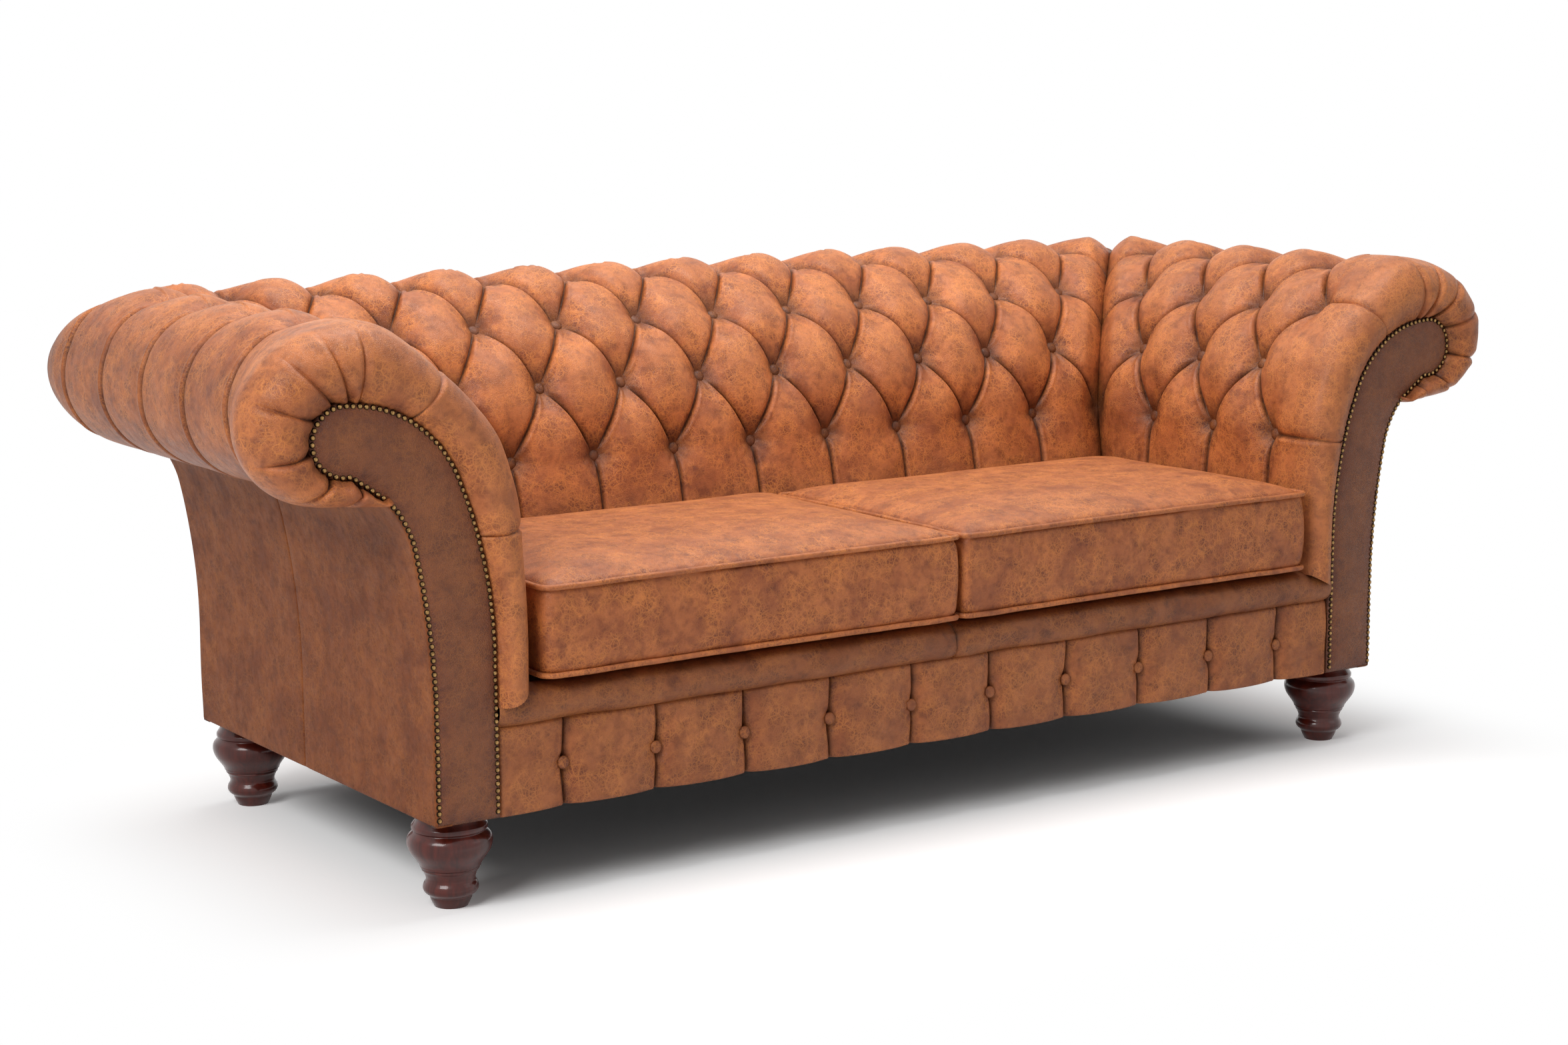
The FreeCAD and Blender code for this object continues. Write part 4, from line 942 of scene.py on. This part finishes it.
def turned_feet(material):
    radius, height = through(FOOT, 3).T[..., None]
    angles = 2 * pi * np.arange(FOOT_SIDES) / FOOT_SIDES
    grid = spread(radius * np.cos(angles), radius * np.sin(angles), height)
    shape = grid.reshape(-1, 3)
    faces = [tuple(face) for face in grid_faces(len(grid), FOOT_SIDES, closed=True)]
    faces += [tuple(reversed(range(FOOT_SIDES))), tuple(range(len(shape) - FOOT_SIDES, len(shape)))]
    skins = faces + [tuple(corner + len(shape) for corner in face) for face in faces]
    for name, depth in FOOT_DEPTHS:
        both = np.concatenate([shape + (-FOOT_ACROSS, depth, 0), shape + (FOOT_ACROSS, depth, 0)])
        finished(f"{name}_turned_feet", both, skins, material, "turned_wood", nodes=[f"{name}_feet"])


# Materials


def add_node(tree, kind, inputs=None, **settings):
    """A new shader node, with its inputs linked or set."""
    item = tree.nodes.new("ShaderNode" + kind)
    for key, value in settings.items():
        setattr(item, key, value)
    for key, value in (inputs or {}).items():
        if isinstance(value, bpy.types.NodeSocket):
            tree.links.new(value, item.inputs[key])
        else:
            item.inputs[key].default_value = value
    return item


class Graph:
    """A node material in the making."""

    def __init__(self, name):
        self.material = bpy.data.materials.new(name)
        self.material.use_nodes = True
        self.tree = self.material.node_tree
        self.shader = self.tree.nodes["Principled BSDF"]
        self.place = self.add("TexCoord").outputs["Object"]

    def add(self, kind, inputs=None, **settings):
        return add_node(self.tree, kind, inputs, **settings)

    def noise(self, scale, detail=3.0, distortion=0.0, place=None, roughness=0.55):
        return self.add("TexNoise", {"Vector": place or self.place, "Scale": scale, "Detail": detail,
                                     "Roughness": roughness, "Distortion": distortion}).outputs["Fac"]

    def cells(self, scale, place):
        """Distance to the nearest wall between cells."""
        return self.add("TexVoronoi", {"Vector": place, "Scale": scale},
                        feature="DISTANCE_TO_EDGE").outputs["Distance"]

    def span(self, value, low, high, start=0.0, end=1.0):
        return self.add("MapRange", {"Value": value, "From Min": low, "From Max": high, "To Min": start,
                                     "To Max": end}).outputs["Result"]

    def math(self, operation, first, second=0.5):
        return self.add("Math", {0: first, 1: second}, operation=operation).outputs[0]

    def product(self, first, second):
        return self.math("MULTIPLY", first, second)

    def blend(self, share, first, second, kind="MIX"):
        return self.add("MixRGB", {"Fac": share, "Color1": first, "Color2": second},
                        blend_type=kind).outputs["Color"]

    def bump(self, height, strength, distance, below=None):
        inputs = {"Height": height, "Strength": strength, "Distance": distance}
        if below:
            inputs["Normal"] = below
        return self.add("Bump", inputs).outputs["Normal"]

    def stretched(self, x, y, z):
        return self.add("Mapping", {"Vector": self.place, "Scale": (x, y, z)}).outputs["Vector"]

    def crown(self):
        return self.add("Attribute", attribute_name="crown").outputs["Fac"]

    def finish(self, color, roughness, normal=None, **direct):
        """The material, with its main inputs linked or set and the direct ones set by name."""
        for key, value in (("Base Color", color), ("Roughness", roughness), ("Normal", normal)):
            if isinstance(value, bpy.types.NodeSocket):
                self.tree.links.new(value, self.shader.inputs[key])
            elif value is not None:
                self.shader.inputs[key].default_value = value
        for key, value in direct.items():
            self.shader.inputs[key.replace("_", " ").title().replace("Ior", "IOR")].default_value = value
        return self.material


def tone(red, green, blue):
    """A display colour, 0 to 255, as the linear colour that nodes take."""
    parts = []
    for part in (red, green, blue):
        part /= 255
        parts.append(part / 12.92 if part <= 0.04045 else ((part + 0.055) / 1.055) ** 2.4)
    return (*parts, 1.0)


def leather(name, grain=430.0, depth=1.0, brightness=1.0, patchy=1.0, veined=1.0, ruddy=0.0, gloss=1.0):
    """Waxed pull-up leather: brown with darker red clouds, fine orange veins and a pebbled grain."""
    graph = Graph(name)
    # the crown attribute sets the painted shade in the creases and the partly painted highlight on the
    # crowns
    painted_shade_and_wear = graph.crown()
    wander = graph.add("TexNoise", {"Vector": graph.place, "Scale": 60.0, "Detail": 3.0}).outputs["Color"]
    bent = graph.blend(0.009, graph.place, wander, "ADD")

    # clouds, patches and spots of wax
    light, middle, dark = tone(184, 107, 62), tone(152, 83, 48), tone(100, 45, 27)
    clouds = graph.span(graph.noise(16.0, 5.0, 0.3), 0.38, 0.62)
    patches = graph.span(graph.noise(44.0, 3.0, 0.3, roughness=0.5), 0.45, 0.70)
    spots = graph.span(graph.noise(105.0, 3.0, 0.3, roughness=0.55), 0.48, 0.72)
    color = graph.blend(clouds, middle, light)
    color = graph.blend(graph.product(patches, 0.75 * patchy), color, dark)
    color = graph.blend(graph.product(spots, 0.45), color, dark)

    # veins where the wax is pulled
    ridge = graph.math("ABSOLUTE", graph.math("SUBTRACT", graph.noise(30.0, 4.0, 0.4, roughness=0.62), 0.5))
    fibres = graph.span(ridge, 0.0, 0.022, 0.9, 0.0)
    broad = graph.span(graph.cells(85.0, bent), 0.0, 0.09, 1.0, 0.0)
    narrow = graph.span(graph.cells(230.0, bent), 0.0, 0.14, 1.0, 0.0)
    where = graph.span(graph.noise(22.0, 4.0, 0.4), 0.40, 0.58, 0.15, 1.0)
    web = graph.math("MAXIMUM", graph.product(broad, 0.85), graph.product(narrow, 0.65))
    web = graph.product(graph.math("MAXIMUM", web, fibres), where)
    color = graph.blend(graph.product(web, 0.66 * veined), color, tone(228, 142, 72))
    if ruddy:
        color = graph.blend(ruddy, color, tone(112, 52, 36))

    # painted shade, dark in the creases and pits, and the crowns lighter, partly as rubbed wear and partly
    # as a painted highlight
    shade = graph.span(painted_shade_and_wear, 0.0, 0.55, 0.24, 1.0)
    shade = graph.add("CombineColor", {0: shade, 1: shade, 2: shade}).outputs[0]
    color = graph.blend(1.0, color, shade, "MULTIPLY")
    color = graph.blend(graph.span(painted_shade_and_wear, 0.6, 1.0, 0.0, 0.14), color, tone(222, 148, 94))
    if brightness != 1.0:
        color = graph.blend(1.0, color, (brightness, brightness, brightness, 1.0), "MULTIPLY")

    # grain
    pebbles = graph.cells(grain, graph.blend(0.008, graph.place, wander, "ADD"))
    normal = graph.bump(graph.noise(95.0, 3.0, 0.4), 0.16 * depth, 0.002)
    normal = graph.bump(graph.span(pebbles, 0.0, 0.2), 0.55 * depth, 0.0005, normal)
    normal = graph.bump(graph.noise(1700.0, 2.0), 0.12, 0.0002, normal)
    roughness = graph.span(graph.noise(60.0, 3.0), 0.3, 0.7, 0.60 - 0.22 * gloss, 0.72 - 0.20 * gloss)
    return graph.finish(color, roughness, normal, specular_ior_level=0.12 + 0.16 * gloss,
                        coat_weight=0.07 * gloss, coat_roughness=0.30)


def mottled(name, noise, low, high, first, second, rough, bumped=(), stretch=None, **direct):
    """A finish that wanders between two tones; rough is one value or a span, bumped strength and depth."""
    graph = Graph(name)
    value = graph.noise(*noise, graph.stretched(*stretch) if stretch else None)
    color = graph.blend(graph.span(value, low, high), tone(*first), tone(*second))
    if not isinstance(rough, float):
        rough = graph.span(value, *rough)
    return graph.finish(color, rough, graph.bump(value, *bumped) if bumped else None, **direct)


def gloss_wood(name):
    graph = Graph(name)
    grain = graph.noise(1.0, 5.0, 1.2, graph.stretched(60, 60, 9))
    pores = graph.noise(1.0, 3.0, 0.2, graph.stretched(240, 240, 16))
    color = graph.blend(graph.span(grain, 0.35, 0.65), tone(62, 18, 12), tone(88, 28, 17))
    color = graph.blend(graph.span(pores, 0.45, 0.7, 0, 0.3), color, tone(36, 12, 9))
    normal = graph.bump(grain, 0.05, 0.0005)
    return graph.finish(color, 0.30, normal, specular_ior_level=0.25, coat_weight=0.42, coat_roughness=0.07)


def aged_brass(name):
    graph = Graph(name)
    painted_shade_and_wear = graph.crown()
    patina = graph.span(graph.noise(420.0, 3.0), 0.4, 0.65)
    # dark towards each nail's rim, where it meets the leather, as painted shade together with the patina,
    # and brass-coloured on the top
    color = graph.blend(graph.span(painted_shade_and_wear, 0.5, 1.0), tone(24, 17, 12), tone(186, 146, 92))
    color = graph.blend(graph.product(patina, 0.55), color, tone(60, 44, 28))
    return graph.finish(color, graph.span(painted_shade_and_wear, 0.2, 1.0, 0.55, 0.26), metallic=1.0)


def woven(name, first, second, scale):
    """A plain weave from two crossed wave textures."""
    graph = Graph(name)
    threads = [graph.add("TexWave", {"Vector": graph.place, "Scale": scale}, wave_type="BANDS",
                         bands_direction=direction).outputs["Fac"] for direction in ("X", "Y")]
    weave = graph.product(*threads)
    mix = graph.math("ADD", weave, graph.product(graph.noise(40.0), 0.4))
    return graph.finish(graph.blend(mix, tone(*first), tone(*second)), 0.9, graph.bump(weave, 0.4, 0.0006))


# brightness paints light and shade: the back painted lighter; the outside panels, border and lip painted
# darker as shade; the facing darker partly as its own redder leather and partly as painted shade
soft_leather = leather("soft_leather")
flat_leather = leather("flat_leather", grain=520.0, brightness=0.57, patchy=0.6, veined=0.6, gloss=0.3)
facing_leather = leather("facing_leather", grain=360.0, depth=1.3, brightness=0.56, patchy=1.1, veined=0.9,
                         ruddy=0.4, gloss=1.2)
back_leather = leather("back_leather", brightness=1.13)
border_leather = leather("border_leather", brightness=0.82)
lip_leather = leather("lip_leather", brightness=0.61)
mahogany = gloss_wood("mahogany")
brass = aged_brass("aged_brass")
finishes = {
    "leather": soft_leather, "turned_wood": mahogany, "aged_brass": brass,
    "frame_timber": mottled("frame_timber", (1.0, 5.0, 1.0), 0.3, 0.7, (176, 138, 92), (214, 182, 134), 0.7,
                            (0.2, 0.0008), (14, 90, 90)),
    "foam": mottled("foam", (600.0, 2.0, 0.0), 0.3, 0.7, (226, 206, 160), (240, 226, 190), 0.95,
                    (0.5, 0.001)),
    "spring_steel": mottled("spring_steel", (200.0, 3.0, 0.0), 0.35, 0.65, (120, 122, 126), (160, 163, 168),
                            (0.3, 0.7, 0.3, 0.45), metallic=1.0),
    "webbing": woven("webbing", (150, 126, 86), (196, 174, 130), 260.0),
    "deck_cloth": woven("deck_cloth", (96, 62, 42), (132, 92, 64), 320.0),
    "black_cloth": woven("black_cloth", (16, 16, 17), (40, 40, 42), 420.0),
}


def finish_nodes():
    """Gives the frame's own nodes their finish by the record's slots."""
    slots = {part["node"]: part["material_slot"] for part in frame["record"]["subparts"]}
    for name, item in frame["nodes"].items():
        for own in item.material_slots:
            own.material = finishes[slots[name]]


finish_nodes()
tufted_back(back_leather)
tufted_arm(soft_leather)
covered_buttons(soft_leather)
facing(facing_leather)
nails(brass)
outside_arm(flat_leather)
outside_back(flat_leather)
front_border(border_leather)
front_lip(lip_leather)
seat_deck(finishes["deck_cloth"])
cushion_cover(soft_leather)
turned_feet(mahogany)


# Camera, floor and light

CAMERA_PLACE = (-2.471, -3.584, 1.105)
CAMERA_LENS = 64.82
CAMERA_TURN, CAMERA_RISE, CAMERA_ROLL = radians(-34.4123), radians(9.3626), radians(-0.2794)
WORLD_ON_OBJECT = 0.21
FLOOR_REACH, FLOOR_SIDES = 60.0, 24
# the floor is seen as lit within a rounded box round the sofa and turns to plain white further out
SHADOW_PLACE, SHADOW_HALF, SHADOW_FADE = (0, 0.15, 0), (0.63, 0.34, 0), (0.05, 0.58)
FLOOR_TONE = 1.14
LAMP_TARGET = (0, 0, 0.4)
LAMPS = (("key", (-3.1, -1.5, 2.6), (1.8, 1.6), 90), ("fill", (3.2, -3.2, 2.4), (2.4, 2.0), 7),
         ("top", (0.3, 0.2, 3.4), (3.0, 1.4), 99))


def camera():
    lens = bpy.data.cameras.new("camera")
    lens.sensor_width = 36.0
    lens.lens = CAMERA_LENS
    lens.clip_end = 200
    eye = bpy.data.objects.new("camera", lens)
    level = Vector((cos(CAMERA_TURN), sin(CAMERA_TURN), 0))
    ahead = Vector((-sin(CAMERA_TURN), cos(CAMERA_TURN), 0))
    forward = ahead * cos(CAMERA_RISE) - Vector((0, 0, sin(CAMERA_RISE)))
    upright = level.cross(forward)
    right = level * cos(CAMERA_ROLL) + upright * sin(CAMERA_ROLL)
    up = -level * sin(CAMERA_ROLL) + upright * cos(CAMERA_ROLL)
    turn = Matrix((right, up, -forward)).transposed().to_4x4()
    eye.matrix_world = Matrix.Translation(CAMERA_PLACE) @ turn
    bpy.context.scene.collection.objects.link(eye)
    bpy.context.scene.camera = eye


def lamp(name, place, size, power):
    data = bpy.data.lights.new(name, "AREA")
    data.shape = "RECTANGLE"
    data.size, data.size_y = size
    data.energy = power
    item = bpy.data.objects.new(name, data)
    item.location = place
    item.rotation_euler = (Vector(LAMP_TARGET) - Vector(place)).to_track_quat("-Z", "Y").to_euler()
    bpy.context.scene.collection.objects.link(item)


def seen_directly(tree):
    """1 for what the camera, gloss or glass sees, 0 for light on the object."""
    path = add_node(tree, "LightPath")
    total = path.outputs["Is Camera Ray"]
    for name in ("Is Glossy Ray", "Is Transmission Ray"):
        total = add_node(tree, "Math", {0: total, 1: path.outputs[name]}, operation="MAXIMUM").outputs[0]
    return total


def white_world():
    """White where it is seen, and dimmer as light on the object."""
    world = bpy.data.worlds.new("studio")
    world.use_nodes = True
    tree = world.node_tree
    back = tree.nodes["Background"]
    back.inputs["Color"].default_value = (1, 1, 1, 1)
    level = {"Value": seen_directly(tree), "To Min": WORLD_ON_OBJECT, "To Max": 1.0}
    tree.links.new(add_node(tree, "MapRange", level).outputs["Result"], back.inputs["Strength"])
    bpy.context.scene.world = world


def floor():
    """A pale floor that turns to plain white away from the shadow, where it is seen."""
    mesh = bpy.data.meshes.new("floor")
    angles = [2 * pi * side / FLOOR_SIDES for side in range(FLOOR_SIDES)]
    ring = [(FLOOR_REACH * cos(angle), FLOOR_REACH * sin(angle), 0) for angle in angles]
    mesh.from_pydata(ring, [], [tuple(range(FLOOR_SIDES))])
    graph = Graph("pale_floor")
    tree = graph.tree
    graph.finish((0.82, 0.82, 0.82, 1), 0.9, specular_ior_level=0.0)
    away = graph.place
    for operation, second in (("ADD", SHADOW_PLACE), ("ABSOLUTE", (0, 0, 0)), ("SUBTRACT", SHADOW_HALF),
                              ("MAXIMUM", (0, 0, 0))):
        away = graph.add("VectorMath", {0: away, 1: second}, operation=operation).outputs["Vector"]
    away = graph.add("VectorMath", {0: away}, operation="LENGTH").outputs["Value"]
    far = graph.add("MapRange", {"Value": away, "From Min": SHADOW_FADE[0], "From Max": SHADOW_FADE[1]},
                    interpolation_type="SMOOTHSTEP").outputs["Result"]
    glow = graph.add("Emission", {"Color": (1, 1, 1, 1), "Strength": 1.0})
    near = graph.add("BsdfDiffuse", {"Color": (FLOOR_TONE, FLOOR_TONE, FLOOR_TONE, 1)})
    mixed = graph.add("MixShader", {"Fac": far, 1: near.outputs[0], 2: glow.outputs[0]})
    final = graph.add("MixShader", {"Fac": seen_directly(tree), 1: graph.shader.outputs[0],
                                    2: mixed.outputs[0]})
    tree.links.new(final.outputs[0], tree.nodes["Material Output"].inputs["Surface"])
    mesh.materials.append(graph.material)
    item = bpy.data.objects.new("floor", mesh)
    bpy.context.scene.collection.objects.link(item)


camera()
white_world()
floor()
for settings in LAMPS:
    lamp(*settings)
bpy.context.scene.view_settings.view_transform = "Standard"
